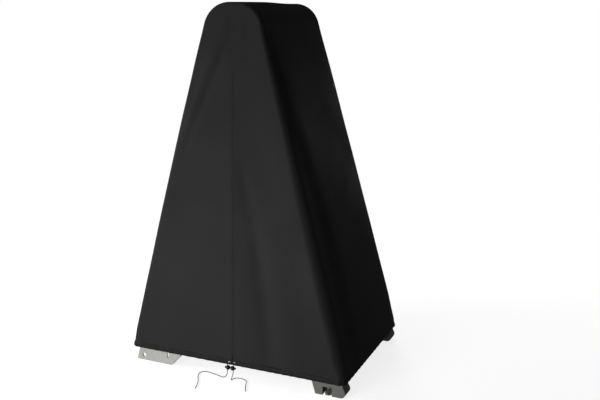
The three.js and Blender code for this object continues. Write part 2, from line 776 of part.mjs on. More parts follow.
/** A handrail: up from a side panel, over the top and down to the hinge. */
function handrail({ name, group, side }) {
  const lean = THREE.MathUtils.radToDeg(SIDE_LEAN);
  const radius = ARCH_RADIUS - TUBE_INSET;
  const shoulder = upFace(SHOULDER_HEIGHT);
  const bend = [
    ...arc(-SHOULDER_X, shoulder, radius, 180 - lean, 90, 7),
    ...arc(SHOULDER_X, shoulder, radius, 90, lean, 7),
  ];
  const points = [
    railPoint(SOCKET_FOOT + 2, -1, side),
    ...bend.map((point) => new THREE.Vector3(point.x * side, point.y, -TUBE_INSET)),
    railPoint(HINGE_HEIGHT + 31, 1, side),
  ];
  piece(group, `handrail_${name}`, tube(points, TUBE_RADIUS, TUBE_WALL), ALUMINIUM);
}

/** A hinge bracket on the handrail's end, inside the tubes, with its pin. */
function hinge({ name, group, side }) {
  const low = -TUBE_INSET - TUBE_RADIUS - 6;
  const high = low + 5;
  const pivot = railPoint(HINGE_HEIGHT, 1, side);
  const top = railPoint(HINGE_HEIGHT + 72, 1, side);
  const lean = THREE.MathUtils.radToDeg(SIDE_LEAN) * side;
  const bracket = plate(
    [...arc(top.x, top.y, 16, lean, 180 + lean, 8), ...arc(pivot.x, pivot.y, 16, 180 + lean, 360 + lean, 8)],
    low,
    high,
  );
  const hole = rod([pivot.x, pivot.y, low - 5], [pivot.x, pivot.y, high + 5], PIN_RADIUS + GAP);
  piece(group, `hinge_bracket_${name}`, cut(bracket, hole), STEEL);

  const shank = rod([pivot.x, pivot.y, low - 2], [pivot.x, pivot.y, -11], PIN_RADIUS);
  const head = rod([pivot.x, pivot.y, low - GAP - 5], [pivot.x, pivot.y, low - GAP], 9);
  piece(group, `hinge_pin_${name}`, join(shank, head), STEEL);
}

/** A rail of the inner ladder, from its shoe up to the hinge, drilled for the pin. */
function innerRail({ name, group, side }) {
  const points = [railPoint(42, 1, side), railPoint(HINGE_HEIGHT + 21, 1, side)];
  const pivot = railPoint(HINGE_HEIGHT, 1, side);
  const drill = rod([pivot.x, pivot.y, -60], [pivot.x, pivot.y, 0], PIN_RADIUS + 1.2);
  const rail = tube(points, TUBE_RADIUS, TUBE_WALL);
  piece(group, `inner_rail_${name}`, cut(rail, drill), ALUMINIUM);
}

/** One tread of the inner ladder, between the two rails. */
function innerStep(top, index) {
  const middle = railX(top - STEP_THICKNESS / 2);
  const half = halfDepth(top) - TUBE_INSET - TUBE_RADIUS - 2 * GAP;
  const x = middle + TUBE_RADIUS - STEP_DEPTH;
  const tread = boxBetween([x, -half, top - STEP_THICKNESS], [x + STEP_DEPTH, half, top]);
  const hollow = boxBetween(
    [x + 8, -half + 8, top - STEP_THICKNESS - 1],
    [x + STEP_DEPTH - 8, half - 8, top - 8],
  );
  piece(object, `inner_step_${index + 1}`, cut(tread, hollow), WHITE_RESIN);
}

/** The bar between the inner rails that the platform rests on. */
function supportBar() {
  const underside = PLATFORM_TOP - MAT_THICKNESS - DECK_THICKNESS - 2 * GAP;
  const radius = 12;
  const height = underside - radius;
  const half = halfDepth(height) - TUBE_INSET - TUBE_RADIUS - 1;
  const x = railX(height) - 20;
  const points = [-half, half].map((y) => new THREE.Vector3(x, y, height));
  piece(object, "platform_support_bar", tube(points, radius, TUBE_WALL), ALUMINIUM);
}

const SHOE_OUTSIDE = 422; // the shoes' outer sides, along Y
const SHOE_WIDTH = 76;
const SHOE_TOP = 104;
const LEVELLER_X = 529;
const LEVELLER_IN = 22; // from a shoe's outer side to its levelling foot
const WINDOW_HALF = 25;
const WINDOW_TOP = 46;

/** A shoe under an inner rail: a block with a round toe, a socket and a window for its levelling foot. */
function innerShoe({ name, towards }) {
  const outline = [
    new THREE.Vector2(464, 0),
    ...arc(600, 26, 26, -90, 40, 6),
    new THREE.Vector2(612, 60),
    new THREE.Vector2(608, SHOE_TOP),
    new THREE.Vector2(556, SHOE_TOP),
    new THREE.Vector2(440, 82),
  ];
  const block = plate(outline, -SHOE_WIDTH / 2, SHOE_WIDTH / 2).rotateX(Math.PI / 2);
  block.translate(0, (SHOE_OUTSIDE - SHOE_WIDTH / 2) * towards, 0);
  const onRail = (height) => [
    railX(height),
    (halfDepth(height) - TUBE_INSET * Math.cos(FACE_LEAN)) * towards,
    height - TUBE_INSET * Math.sin(FACE_LEAN),
  ];
  const socket = rod(onRail(40), onRail(200), TUBE_RADIUS + GAP, 24);
  const outside = SHOE_OUTSIDE * towards;
  const inside = (SHOE_OUTSIDE - 2 * LEVELLER_IN) * towards;
  const notch = boxBetween(
    [LEVELLER_X - WINDOW_HALF, Math.min(outside + 10 * towards, inside), -5],
    [LEVELLER_X + WINDOW_HALF, Math.max(outside + 10 * towards, inside), WINDOW_TOP],
  );
  const studY = (SHOE_OUTSIDE - LEVELLER_IN) * towards;
  const studHole = rod([LEVELLER_X, studY, 20], [LEVELLER_X, studY, 90], 6.6);
  piece(object, `inner_shoe_${name}`, cut(block, socket, notch, studHole), DARK_RESIN);
}

/** A levelling foot: pad, hexagon and stud in one turned part. */
function levellingFoot({ name, towards }) {
  const y = (SHOE_OUTSIDE - LEVELLER_IN) * towards;
  const pad = rod([LEVELLER_X, y, 0], [LEVELLER_X, y, 8], 18, 24);
  const hexagon = rod([LEVELLER_X, y, 7], [LEVELLER_X, y, 32], 16, 6);
  const stud = rod([LEVELLER_X, y, 30], [LEVELLER_X, y, 86], 6, 16);
  piece(object, `levelling_foot_${name}`, join(pad, hexagon, stud), STEEL);
}

// ---- Assembly ----

backPanel();
frontUpperPanel();
sideGusset(left, "cover_left_gusset");
sideGusset(right, "cover_right_gusset");
topGusset();
sideHem();
sideDrawcord();
zipTopStop();
zipSlider();
zipPullTab();

for (const [name, side] of [
  ["left", -1],
  ["right", 1],
]) {
  flapPanel(name, side);
  flapHem(name, side);
  flapDrawcord(name, side);
  zipHalf(name, side);
  eyelet(name, side);
  cordLock(name, side);
}
cordTail("left", LEFT_TAIL);
cordTail("right", RIGHT_TAIL);

for (const face of FACES) {
  sidePanel(face);
  handrail(face);
  hinge(face);
  innerRail(face);
  innerShoe(face);
  levellingFoot(face);
}
STEP_TOPS.forEach(outerStep);
STEP_TOPS.forEach(innerStep);
climbGuard();
platformDeck();
platformMat();
supportBar();

export default object;
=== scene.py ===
"""An A-frame pool ladder standing under its fitted fabric cover.

Metres, +Z up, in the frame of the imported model. X runs across the A, with the outer ladder at -X and the
inner, pool side ladder at +X, and the cover's zipped front faces -Y.
"""

import json
import math
import bmesh
import bpy
from mathutils import Matrix, Vector, noise


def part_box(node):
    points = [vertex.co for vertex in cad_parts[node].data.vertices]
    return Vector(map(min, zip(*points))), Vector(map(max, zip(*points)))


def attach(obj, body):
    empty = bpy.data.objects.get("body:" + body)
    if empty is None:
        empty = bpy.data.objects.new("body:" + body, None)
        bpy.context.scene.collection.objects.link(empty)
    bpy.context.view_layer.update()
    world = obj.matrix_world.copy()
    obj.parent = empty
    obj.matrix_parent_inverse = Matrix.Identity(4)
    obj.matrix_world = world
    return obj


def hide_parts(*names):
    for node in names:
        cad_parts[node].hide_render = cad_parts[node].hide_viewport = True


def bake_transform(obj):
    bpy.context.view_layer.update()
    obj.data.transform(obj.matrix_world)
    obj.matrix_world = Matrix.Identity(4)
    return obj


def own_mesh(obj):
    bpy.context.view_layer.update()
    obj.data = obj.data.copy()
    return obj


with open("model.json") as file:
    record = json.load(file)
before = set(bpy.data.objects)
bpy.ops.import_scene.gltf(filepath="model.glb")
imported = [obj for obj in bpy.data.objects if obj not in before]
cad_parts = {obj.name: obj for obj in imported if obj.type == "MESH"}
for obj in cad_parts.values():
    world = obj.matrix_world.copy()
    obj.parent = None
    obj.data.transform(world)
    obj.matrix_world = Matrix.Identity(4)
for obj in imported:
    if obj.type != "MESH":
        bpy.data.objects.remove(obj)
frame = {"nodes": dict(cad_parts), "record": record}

bl_info = {
    "name": "Covered pool ladder",
    "version": (1, 0, 0),
    "blender": (4, 5, 0),
    "location": "3D View > Sidebar > Pool ladder",
    "description": "Builds an A-frame pool ladder and its fitted cover round the packed frame",
    "category": "Add Mesh",
}

# ---- Places taken from the frame ----

RECORD = frame["record"]
BODY_OF = {node: body for body, nodes in RECORD["behaviour"]["bodies"].items() for node in nodes}
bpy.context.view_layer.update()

HEM_PROUD = 0.003  # the hem's outer side stands this far off the cloth
hem_low, hem_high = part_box("hem_channel")
top_low, top_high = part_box("cover_top_gusset")
BASE_X = hem_high[0] - HEM_PROUD
BASE_Y = hem_high[1] - HEM_PROUD
BASE_Z = hem_low[2]
HEM_TALL = hem_high[2] - hem_low[2]
TOP_Z = top_high[2]
TOP_X = 0.130  # where the straight sides would meet the top line
TOP_Y = top_high[1] + 0.0038
SHOULDER = 0.140  # radius of the round shoulders

SIDE_SLOPE = (BASE_X - TOP_X) / (TOP_Z - BASE_Z)
FACE_SLOPE = (BASE_Y - TOP_Y) / (TOP_Z - BASE_Z)
SIDE_LEAN = math.atan(SIDE_SLOPE)
FACE_LEAN = math.atan(FACE_SLOPE)
SHOULDER_Z = TOP_Z - SHOULDER
SHOULDER_X = BASE_X - (SHOULDER_Z - BASE_Z) * SIDE_SLOPE - SHOULDER / math.cos(SIDE_LEAN)
SIDE_NORMAL = Vector((math.cos(SIDE_LEAN), math.sin(SIDE_LEAN)))

TANGENT_Z = SHOULDER_Z + SHOULDER * math.sin(SIDE_LEAN)
SLOPE_LENGTH = (TANGENT_Z - BASE_Z) / math.cos(SIDE_LEAN)
BEND_LENGTH = SHOULDER * (math.pi / 2 - SIDE_LEAN)
HALF_OUTLINE = SLOPE_LENGTH + BEND_LENGTH + SHOULDER_X

APEX = 1.525  # the slit's top, up the front's slope
APEX_Z = BASE_Z + APEX * math.cos(FACE_LEAN)
FOLD_FOOT = 0.618  # half width between the two fold lines at the hem
CLOTH = 0.0012


# ---- Small sums ----


def ease(x):
    """A smooth step from 0 to 1."""
    x = min(max(x, 0.0), 1.0)
    return x * x * (3 - 2 * x)


def bump(x, width):
    """A round hump of height 1 about 0."""
    return math.exp(-((x / width) ** 2))


def between(table, x):
    """A value read from (x, value) rows, eased from each to the next."""
    for (x0, y0), (x1, y1) in zip(table, table[1:]):
        if x <= x1:
            return y0 + (y1 - y0) * ease((x - x0) / (x1 - x0))
    return table[-1][1]


def ripple(x, y, z, scale):
    """Even, repeatable unevenness from -1 to 1, with features about scale across."""
    return noise.noise(Vector((x, y, z)) / scale)


# ---- The cover's surface ----


def half_depth(z):
    return BASE_Y - (z - BASE_Z) * FACE_SLOPE


def outline(s):
    """The A's outline at a length s up from the hem: half width, height and outward normal."""
    if s <= SLOPE_LENGTH:
        z = BASE_Z + s * math.cos(SIDE_LEAN)
        return BASE_X - (z - BASE_Z) * SIDE_SLOPE, z, SIDE_NORMAL
    if s < SLOPE_LENGTH + BEND_LENGTH:
        turn = SIDE_LEAN + (s - SLOPE_LENGTH) / SHOULDER
        normal = Vector((math.cos(turn), math.sin(turn)))
        return SHOULDER_X + SHOULDER * normal.x, SHOULDER_Z + SHOULDER * normal.y, normal
    return max(HALF_OUTLINE - s, 0.0), TOP_Z, Vector((0.0, 1.0))


def to_edge(x, z):
    """Distance in from the A's outline, and the outline's normal there, for x of 0 or more."""
    away = Vector((x - SHOULDER_X, z - SHOULDER_Z))
    if away.x <= 0 and away.y > 0:
        normal = Vector((0.0, 1.0))
    elif math.atan2(away.y, away.x) <= SIDE_LEAN or away.x <= 0:
        normal = SIDE_NORMAL
    else:
        normal = away.normalized()
    return SHOULDER - away.dot(normal), normal


# Radius of the cloth's corners up the cover: wide where it rounds a thin tube, tight on the side panels
TUBE_CORNER = (
    (0.075, 0.030), (0.20, 0.055), (0.45, 0.060), (0.90, 0.048), (1.35, 0.034), (1.75, 0.022), (1.93, 0.012),
)
REAR_CORNER = ((0.075, 0.030), (0.30, 0.032), (1.20, 0.026), (1.75, 0.016), (1.93, 0.009))
PANEL_CORNER = ((0.075, 0.030), (0.20, 0.024), (0.80, 0.020), (1.20, 0.018), (1.75, 0.014), (1.93, 0.009))


def corner_radius(side, back, z):
    """Radius of the cloth's corner between a face and an end."""
    table = PANEL_CORNER if side < 0 else REAR_CORNER if back else TUBE_CORNER
    return between(table, z) * bpy.context.scene.ladder_cover.corner_softness


def round_corner(edge, radius):
    """Where cloth at a distance from a seam goes as the corner is rounded: new distance and depth."""
    if edge >= radius:
        return edge, 0.0
    turn = (1 - max(edge, 0.0) / radius) * math.pi / 4
    return radius * (1 - math.sin(turn)), radius * (1 - math.cos(turn))


def crease(x, z, start, end, width):
    """A soft line from start to end: 1 on it, fading away from it and towards its ends."""
    a, b = Vector(start), Vector(end)
    along = b - a
    t = (Vector((x, z)) - a).dot(along) / along.length_squared
    away = (Vector((x, z)) - (a + along * t)).length
    return bump(away, width) * ease((t + 0.35) / 0.5) * ease((1.35 - t) / 0.5)


# (start, end, width, height) of each fold on the front, as x and z
FRONT_FOLDS = (
    ((-0.036, 1.725), (-0.262, 1.221), 0.024, -0.0035),
    ((-0.080, 1.700), (-0.315, 1.200), 0.048, 0.0055),
    ((0.059, 1.067), (0.145, 0.665), 0.040, -0.0060),
    ((0.145, 0.665), (0.218, 0.150), 0.048, -0.0110),
    ((0.235, 0.700), (0.335, 0.140), 0.075, 0.0060),
    ((0.050, 0.560), (0.090, 0.120), 0.060, 0.0045),
    ((-0.330, 0.560), (-0.500, 0.130), 0.060, -0.0040),
    ((0.120, 1.250), (0.150, 0.760), 0.080, -0.0030),
)
BACK_FOLDS = (
    ((0.080, 1.620), (0.250, 1.180), 0.035, -0.0045),
    ((-0.090, 1.500), (-0.180, 0.900), 0.070, -0.0050),
    ((-0.180, 0.620), (-0.260, 0.130), 0.055, -0.0100),
    ((-0.040, 0.700), (-0.060, 0.120), 0.080, 0.0050),
    ((0.150, 0.540), (0.215, 0.130), 0.060, -0.0070),
    ((0.330, 0.620), (0.470, 0.140), 0.060, 0.0040),
)


def hem_gathers(along, above):
    """Small upright puckers that the drawcord makes, fading upwards."""
    if above > 0.25:
        return 0.0
    phase = 2.2 * ripple(along, 0.3, 0.7, 0.19)
    wave = math.sin(along * 2 * math.pi / 0.048 + phase * math.pi)
    wave *= 0.6 + 0.4 * ripple(along, 5.1, 0.2, 0.11)
    return 0.0014 * wave * bump(above, 0.075)


PANEL_ROOM = 0.0045  # the cloth may hang in this far before it meets the side panels' bolts


def face_relief(x, z, back):
    """How far the cloth of the front or back stands off its flat wall."""
    folds = BACK_FOLDS if back else FRONT_FOLDS
    depth = bpy.context.scene.ladder_cover.fold_depth
    high = sum(height * crease(x, z, a, b, width) for a, b, width, height in folds) * depth
    fan = x / (1 + 0.35 * (BASE_Z - z))  # the slack hangs in streaks that spread from the top
    high += 0.0012 * ripple(fan, 2.0 + 3 * back, z * 0.28, 0.20)
    high += 0.0004 * ripple(fan, 7.0 + back, z * 0.22, 0.08)
    slack = ease((BASE_X - abs(x) - (z - BASE_Z) * SIDE_SLOPE) / 0.2) * ease((1.55 - z) / 0.6)
    high += hem_gathers(x + 3 * back, z - BASE_Z) - 0.0035 * slack
    if not back:
        high *= 1 - 0.9 * bump(x, 0.035) * ease((APEX_Z + 0.08 - z) / 0.08)  # the zip stiffens the cloth
    return high if x > 0 or high > 0 else PANEL_ROOM * math.tanh(high / PANEL_ROOM)


# The +X end's swell by height: how far out it stands, and how far behind the front corner it starts
END_SWELL = ((0.1, 0.008), (0.3, 0.016), (0.8, 0.022), (1.4, 0.022), (1.8, 0.012))
END_SWELL_START = ((0.1, 0.20), (0.5, 0.165), (0.85, 0.165), (1.17, 0.11), (1.47, 0.05), (1.8, 0.03))


def end_relief(side, y, z):
    """How far the cloth of a sloping end stands off its flat wall, y towards the back."""
    depth = bpy.context.scene.ladder_cover.fold_depth
    reach = half_depth(z)
    front, rear = reach + y, reach - y
    if side > 0:
        # it hangs close behind the tube and then stands out in one broad swell
        full, start = between(END_SWELL, z), between(END_SWELL_START, z)
        high = full * (0.5 + 0.5 * math.tanh((front - start) / 0.05)) * (1 - math.exp(-rear / 0.07))
    else:
        high = -0.0070 * bump(front - 0.10, 0.050) * ease((1.0 - z) / 0.7)
        high -= 0.0080 * bump(y - 0.05 - 0.08 * z, 0.10) * ease((1.5 - z) / 0.8)
        high += 0.0035 * bump(y + 0.16, 0.09) * ease((1.6 - z) / 0.6)
    ripples = 0.0012 * ripple(4.0 + side, y, z * 0.3, 0.20) + 0.0004 * ripple(9.0 + side, y, z * 0.22, 0.08)
    return high * depth + ripples + hem_gathers(y + 6 * side, z - BASE_Z)


# How far the cloth swells out between the hem and the shoulders, by height, on each side
LEFT_SWELL = (
    (0.075, 0.0), (0.20, 0.0055), (0.50, 0.0085), (0.90, 0.0125),
    (1.30, 0.0135), (1.60, 0.0100), (1.93, 0.0040),
)
RIGHT_SWELL = (
    (0.075, 0.0), (0.14, 0.0060), (0.30, 0.0115), (0.60, 0.0105), (1.00, 0.0085), (1.40, 0.0055), (1.75, 0.0),
)
REAR_SAG = 0.008  # the top sinks this far towards the back


def hung(point):
    """The cloth's swell and sag, added to a point of it."""
    x, y, z = point
    reach = max(BASE_X - (z - BASE_Z) * SIDE_SLOPE, 0.1)
    swell = between(RIGHT_SWELL if x > 0 else LEFT_SWELL, z)
    sag = REAR_SAG * ease((y + 0.1) / 0.35) * ease((z - 1.6) / 0.25)
    return Vector((x * (1 + swell / reach), y, z - sag))


def face_point(x, z, back=False, out=0.0):
    """A point of the front or back cloth, from its flat place; out moves it off the cloth."""
    side = 1 if x > 0 else -1
    edge, normal = to_edge(abs(x), z)
    reach, depth = round_corner(edge, corner_radius(side, back, z))
    shift = reach - edge
    loose = ease(edge / 0.07)
    stand = face_relief(x, z, back) * loose - depth + out
    towards = 1 if back else -1
    return hung((x - side * normal.x * shift, towards * (half_depth(z) + stand), z - normal.y * shift))


def end_point(side, s, y, out=0.0):
    """A point of the cloth strip over the ends and the top: s up from the hem on one side."""
    x, z, normal = outline(s)
    reach = half_depth(z)
    edge = reach - abs(y)
    near, depth = round_corner(edge, corner_radius(side, y > 0, z))
    loose = ease(edge / 0.07) * ease((SLOPE_LENGTH + BEND_LENGTH * 0.3 - s) / 0.25)
    stand = end_relief(side, y, z) * loose - depth + out
    # across the top the two sides' reliefs have both faded, so they meet
    return hung((side * (x + normal.x * stand), math.copysign(reach - near, y), z + normal.y * stand))


# ---- Making meshes ----


def material(name):
    """A finish by name, made when it is first asked for."""
    found = bpy.data.materials.get(name)
    return found or MAKE_MATERIAL[name](name)


def add_piece(name, bm, body=None, finishes=(), crisp=35):
    """A bmesh as a smooth object, sharp only where faces meet at more than crisp degrees."""
    bm.normal_update()
    for face in bm.faces:
        face.smooth = True
    for edge in bm.edges:
        edge.smooth = len(edge.link_faces) == 2 and edge.calc_face_angle(0) < math.radians(crisp)
    mesh = bpy.data.meshes.new(name)
    bm.to_mesh(mesh)
    bm.free()
    piece = bpy.data.objects.new(name, mesh)
    bpy.context.scene.collection.objects.link(piece)
    for finish in finishes:
        mesh.materials.append(material(finish))
    if body:
        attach(piece, body)
    return piece


def flap_blend(piece, side):
    """Bakes the piece's place into its mesh; the fold line's directions are worked out but not used."""
    along = Vector((-FOLD_FOOT * side, APEX * math.sin(FACE_LEAN), APEX * math.cos(FACE_LEAN))).normalized()
    out = Vector((0, -math.cos(FACE_LEAN), math.sin(FACE_LEAN)))
    inward = along.cross(out) * side
    if inward.x * side > 0:
        inward = -inward
    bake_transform(piece)


def cloth_grid(name, columns, rows, place, thickness=CLOTH, finishes=("cover cloth", "silver lining")):
    """A sheet of cloth: a grid whose corners a function places from 0..1 across and up, with UVs in metres.

    place gives a point and its place on the flat cloth."""
    bm = bmesh.new()
    layer = bm.loops.layers.uv.new("Cloth")
    bmesh.ops.create_grid(bm, x_segments=columns, y_segments=rows, size=0.5)
    flat = {}
    for vert in bm.verts:
        vert.co, flat[vert] = place(vert.co.x + 0.5, vert.co.y + 0.5)
    for face in bm.faces:
        for loop in face.loops:
            loop[layer].uv = flat[loop.vert]
    piece = add_piece(name, bm, finishes=finishes, crisp=60)
    if thickness:
        wall = piece.modifiers.new("Cloth thickness", "SOLIDIFY")
        wall.thickness = thickness
        wall.offset = -1
        wall.material_offset = 1 if len(finishes) > 1 else 0
    return piece


def ring(count, width, height, power=2.0):
    """Corners of a rounded section, width along x and height along y."""
    corners = []
    for i in range(count):
        turn = 2 * math.pi * i / count
        c, s = math.cos(turn), math.sin(turn)
        corners.append(
            Vector(
                (
                    math.copysign(abs(c) ** (2 / power), c) * width / 2,
                    math.copysign(abs(s) ** (2 / power), s) * height / 2,
                    0,
                )
            )
        )
    return corners


def stations(points, up):
    """A matrix at each point of a path, its Z along the path and its Y towards up."""
    found = []
    for i, point in enumerate(points):
        ahead = points[min(i + 1, len(points) - 1)] - points[max(i - 1, 0)]
        z = ahead.normalized()
        y = up(i, z) if callable(up) else Vector(up)
        y = (y - z * y.dot(z)).normalized()
        x = y.cross(z)
        found.append(Matrix.Translation(point) @ Matrix((x, y, z)).transposed().to_4x4())
    return found


def sweep(bm, section, path, caps=True, layer=None, start=0.0, around=None):
    """A tube: a section extruded from station to station, with UVs round it and along it in metres."""
    count = len(section)
    first = bmesh.ops.create_circle(bm, segments=count, radius=1)["verts"]
    for vert, corner in zip(first, section):
        vert.co = corner
    bmesh.ops.transform(bm, matrix=path[0], verts=first)
    place = {vert: (i, start) for i, vert in enumerate(first)}
    edges = [e for e in bm.edges if all(v in place for v in e.verts)]
    verts, length = first, start
    faces = []
    for here, there in zip(path, path[1:]):
        length += (there.translation - here.translation).length
        made = bmesh.ops.extrude_edge_only(bm, edges=edges)["geom"]
        fresh = [g for g in made if isinstance(g, bmesh.types.BMVert)]
        for vert in fresh:
            before = next(e.other_vert(vert) for e in vert.link_edges if e.other_vert(vert) in place)
            place[vert] = (place[before][0], length)
        bmesh.ops.transform(bm, matrix=there @ here.inverted(), verts=fresh)
        edges = [g for g in made if isinstance(g, bmesh.types.BMEdge)]
        faces += [g for g in made if isinstance(g, bmesh.types.BMFace)]
        verts = fresh
    if caps:
        start_edges = [e for e in bm.edges if e.verts[0] in first and e.verts[1] in first]
        bmesh.ops.contextual_create(bm, geom=start_edges)
        bmesh.ops.contextual_create(bm, geom=edges)
    around = around or sum((a - b).length for a, b in zip(section, section[1:] + section[:1]))
    if layer:
        for face in faces:
            turns = [place[loop.vert][0] for loop in face.loops]
            wraps = max(turns) - min(turns) > 1
            for loop, turn in zip(face.loops, turns):
                step = count if wraps and turn == 0 else turn
                loop[layer].uv = (step / count * around, place[loop.vert][1])
    bmesh.ops.recalc_face_normals(bm, faces=bm.faces)
    return verts


def tube_piece(name, points, radius, body=None, finish=None, sides=16, up=(0, 0, 1), wall=0.0):
    """A round bar or, with a wall, a hollow tube along points."""
    bm = bmesh.new()
    layer = bm.loops.layers.uv.new("Along")
    path = stations([Vector(p) for p in points], up)
    sweep(bm, ring(sides, 2 * radius, 2 * radius), path, caps=not wall, layer=layer)
    if wall:
        bmesh.ops.solidify(bm, geom=bm.faces[:], thickness=wall)
    return add_piece(name, bm, body, [finish])


def smooth_path(points, steps=4):
    """A Catmull-Rom curve through points."""
    points = [Vector(p) for p in points]
    ends = [points[0] * 2 - points[1], *points, points[-1] * 2 - points[-2]]
    curve = []
    for p0, p1, p2, p3 in zip(ends, ends[1:], ends[2:], ends[3:]):
        for k in range(steps):
            t = k / steps
            square = (2 * p0 - 5 * p1 + 4 * p2 - p3) * t * t
            cube = (3 * p1 - p0 - 3 * p2 + p3) * t**3
            curve.append(0.5 * (2 * p1 + (p2 - p0) * t + square + cube))
    return [*curve, points[-1]]


def stitches(bm, points, outs, length=0.0032, pitch=0.0046, thick=0.0007):
    """Thread stitches along a line, each a small grain half sunk in the cloth."""
    travelled, due = 0.0, pitch / 2
    for (a, out), b in zip(zip(points, outs), points[1:]):
        step = (b - a).length
        while step > 0 and due <= travelled + step:
            z = (b - a) / step
            x = out.cross(z).normalized()
            place = Matrix((x, z.cross(x), z)).transposed().to_4x4()
            place.translation = a + z * (due - travelled) + out * thick * 0.2
            size = Matrix.Diagonal((thick / 2, thick / 2, length / 2, 1))
            bmesh.ops.create_icosphere(bm, subdivisions=1, radius=1, matrix=place @ size)
            due += pitch
        travelled += step


def refined(node, finish, bevel=0.0012, name=None, extra=None, segments=2):
    """A copy of a CAD node with flat faces whole again and its edges rounded, which stands for the node."""
    bm = bmesh.new()
    bm.from_mesh(frame["nodes"][node].data)
    bmesh.ops.remove_doubles(bm, verts=bm.verts, dist=1e-5)
    bmesh.ops.dissolve_limit(bm, angle_limit=math.radians(0.6), verts=bm.verts, edges=bm.edges)
    if extra:
        extra(bm)
    piece = add_piece(name or f"{node}_finished", bm, BODY_OF[node], [finish])
    if bevel:
        soft = piece.modifiers.new("Soft edges", "BEVEL")
        soft.width = bevel
        soft.segments = segments
        soft.limit_method = "ANGLE"
        soft.angle_limit = math.radians(32)
        soft.harden_normals = True
    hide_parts(node)
    return piece


def rounded_box(bm, low, high, bevel=0.0008, segments=2):
    """A box between two corners with its edges rounded."""
    low, high = Vector(low), Vector(high)
    made = bmesh.ops.create_cube(bm, size=1)["verts"]
    size = high - low
    bmesh.ops.transform(
        bm, matrix=Matrix.Translation((low + high) / 2) @ Matrix.Diagonal((*size, 1)), verts=made
    )
    edges = list({e for v in made for e in v.link_edges})
    bmesh.ops.bevel(
        bm, geom=edges, offset=bevel, segments=segments, profile=0.5, affect="EDGES", material=-1
    )


def spun(bm, profile, matrix, steps=24):
    """A lathe shape from (radius, height) rows, placed by a matrix with its axis along Z."""
    verts = [bm.verts.new((r, 0, h)) for r, h in profile]
    edges = [bm.edges.new(pair) for pair in zip(verts, verts[1:])]
    bmesh.ops.spin(
        bm,
        geom=verts + edges,
        axis=(0, 0, 1),
        cent=(0, 0, 0),
        angle=2 * math.pi,
        steps=steps,
        use_merge=True,
    )
    fresh = [v for v in bm.verts if not v.tag]
    bmesh.ops.transform(bm, matrix=matrix, verts=fresh)
    bmesh.ops.remove_doubles(bm, verts=fresh, dist=1e-6)
    for v in bm.verts:
        v.tag = True
    bmesh.ops.recalc_face_normals(bm, faces=bm.faces)


def facing(point, direction, up=(0, 0, 1)):
    """A matrix at a point with its Z along a direction."""
    z = Vector(direction).normalized()
    y = Vector(up)
    if abs(y.dot(z)) > 0.95:
        y = Vector((0, 1, 0))
    x = y.cross(z).normalized()
    place = Matrix((x, z.cross(x), z)).transposed().to_4x4()
    place.translation = Vector(point)
    return place


def bolt(bm, point, direction, radius=0.008, head=0.0045, washer=True):
    """A domed bolt head with a washer and a round socket."""
    base = 0.0
    rows = []
    if washer:
        rows += [(0.0, 0.0), (radius * 1.35, 0.0), (radius * 1.35, 0.0010), (radius, 0.0012)]
        base = 0.0012
    else:
        rows += [(0.0, 0.0), (radius, 0.0)]
    rows += [
        (radius, base + head * 0.35),
        (radius * 0.9, base + head * 0.75),
        (radius * 0.62, base + head),
        (radius * 0.42, base + head),
        (radius * 0.40, base + head * 0.4),
        (0.0, base + head * 0.4),
    ]
    spun(bm, rows, facing(point, direction), steps=12)


# ---- Finishes ----


def add_node(tree, kind, values=None, **settings):
    """A node with its settings and with its sockets set or linked."""
    made = tree.nodes.new(kind)
    for key, value in settings.items():
        setattr(made, key, value)
    for key, value in (values or {}).items():
        if isinstance(value, bpy.types.NodeSocket):
            tree.links.new(value, made.inputs[key])
        else:
            made.inputs[key].default_value = value
    return made


def sum_of(tree, operation, *values):
    """The result of a Math node."""
    made = add_node(tree, "ShaderNodeMath", dict(enumerate(values)), operation=operation)
    return made.outputs[0]


def shader_group(name, inputs, outputs):
    """An empty node group with named sockets: its tree, its inputs and its outputs."""
    tree = bpy.data.node_groups.new(name, "ShaderNodeTree")
    for label, kind, default in inputs:
        socket = tree.interface.new_socket(label, in_out="INPUT", socket_type=kind)
        if default is not None:
            socket.default_value = default
    for label, kind in outputs:
        tree.interface.new_socket(label, in_out="OUTPUT", socket_type=kind)
    return tree, tree.nodes.new("NodeGroupInput").outputs, tree.nodes.new("NodeGroupOutput").inputs


FLOAT, COLOUR, VECTOR = "NodeSocketFloat", "NodeSocketColor", "NodeSocketVector"


def thread_group():
    """Threads over and under each other in pairs: a height and a tone."""
    tree, given, put = shader_group(
        "Crossing threads",
        [("Vector", VECTOR, None), ("Pitch", FLOAT, 0.001)],
        [("Height", FLOAT), ("Tone", FLOAT)],
    )
    scale = sum_of(tree, "DIVIDE", 1.0, given["Pitch"])
    place = add_node(
        tree, "ShaderNodeVectorMath", {0: given["Vector"], "Scale": scale}, operation="SCALE"
    ).outputs[0]
    split = add_node(tree, "ShaderNodeSeparateXYZ", {0: place}).outputs
    waves = [
        sum_of(tree, "ABSOLUTE", sum_of(tree, "SINE", sum_of(tree, "MULTIPLY", split[i], math.pi)))
        for i in (0, 1)
    ]
    over = add_node(tree, "ShaderNodeTexChecker", {"Vector": place, "Scale": 1.0}).outputs["Fac"]
    rough = add_node(
        tree, "ShaderNodeTexNoise", {"Vector": place, "Scale": 0.9, "Detail": 2.0}
    ).outputs["Fac"]
    mixed = add_node(tree, "ShaderNodeMix", {"Factor": over, 2: waves[0], 3: waves[1]}).outputs[0]
    height = sum_of(tree, "ADD", mixed, sum_of(tree, "MULTIPLY", rough, 0.5))
    tree.links.new(height, put["Height"])
    tree.links.new(sum_of(tree, "MULTIPLY", height, 0.67), put["Tone"])
    return tree


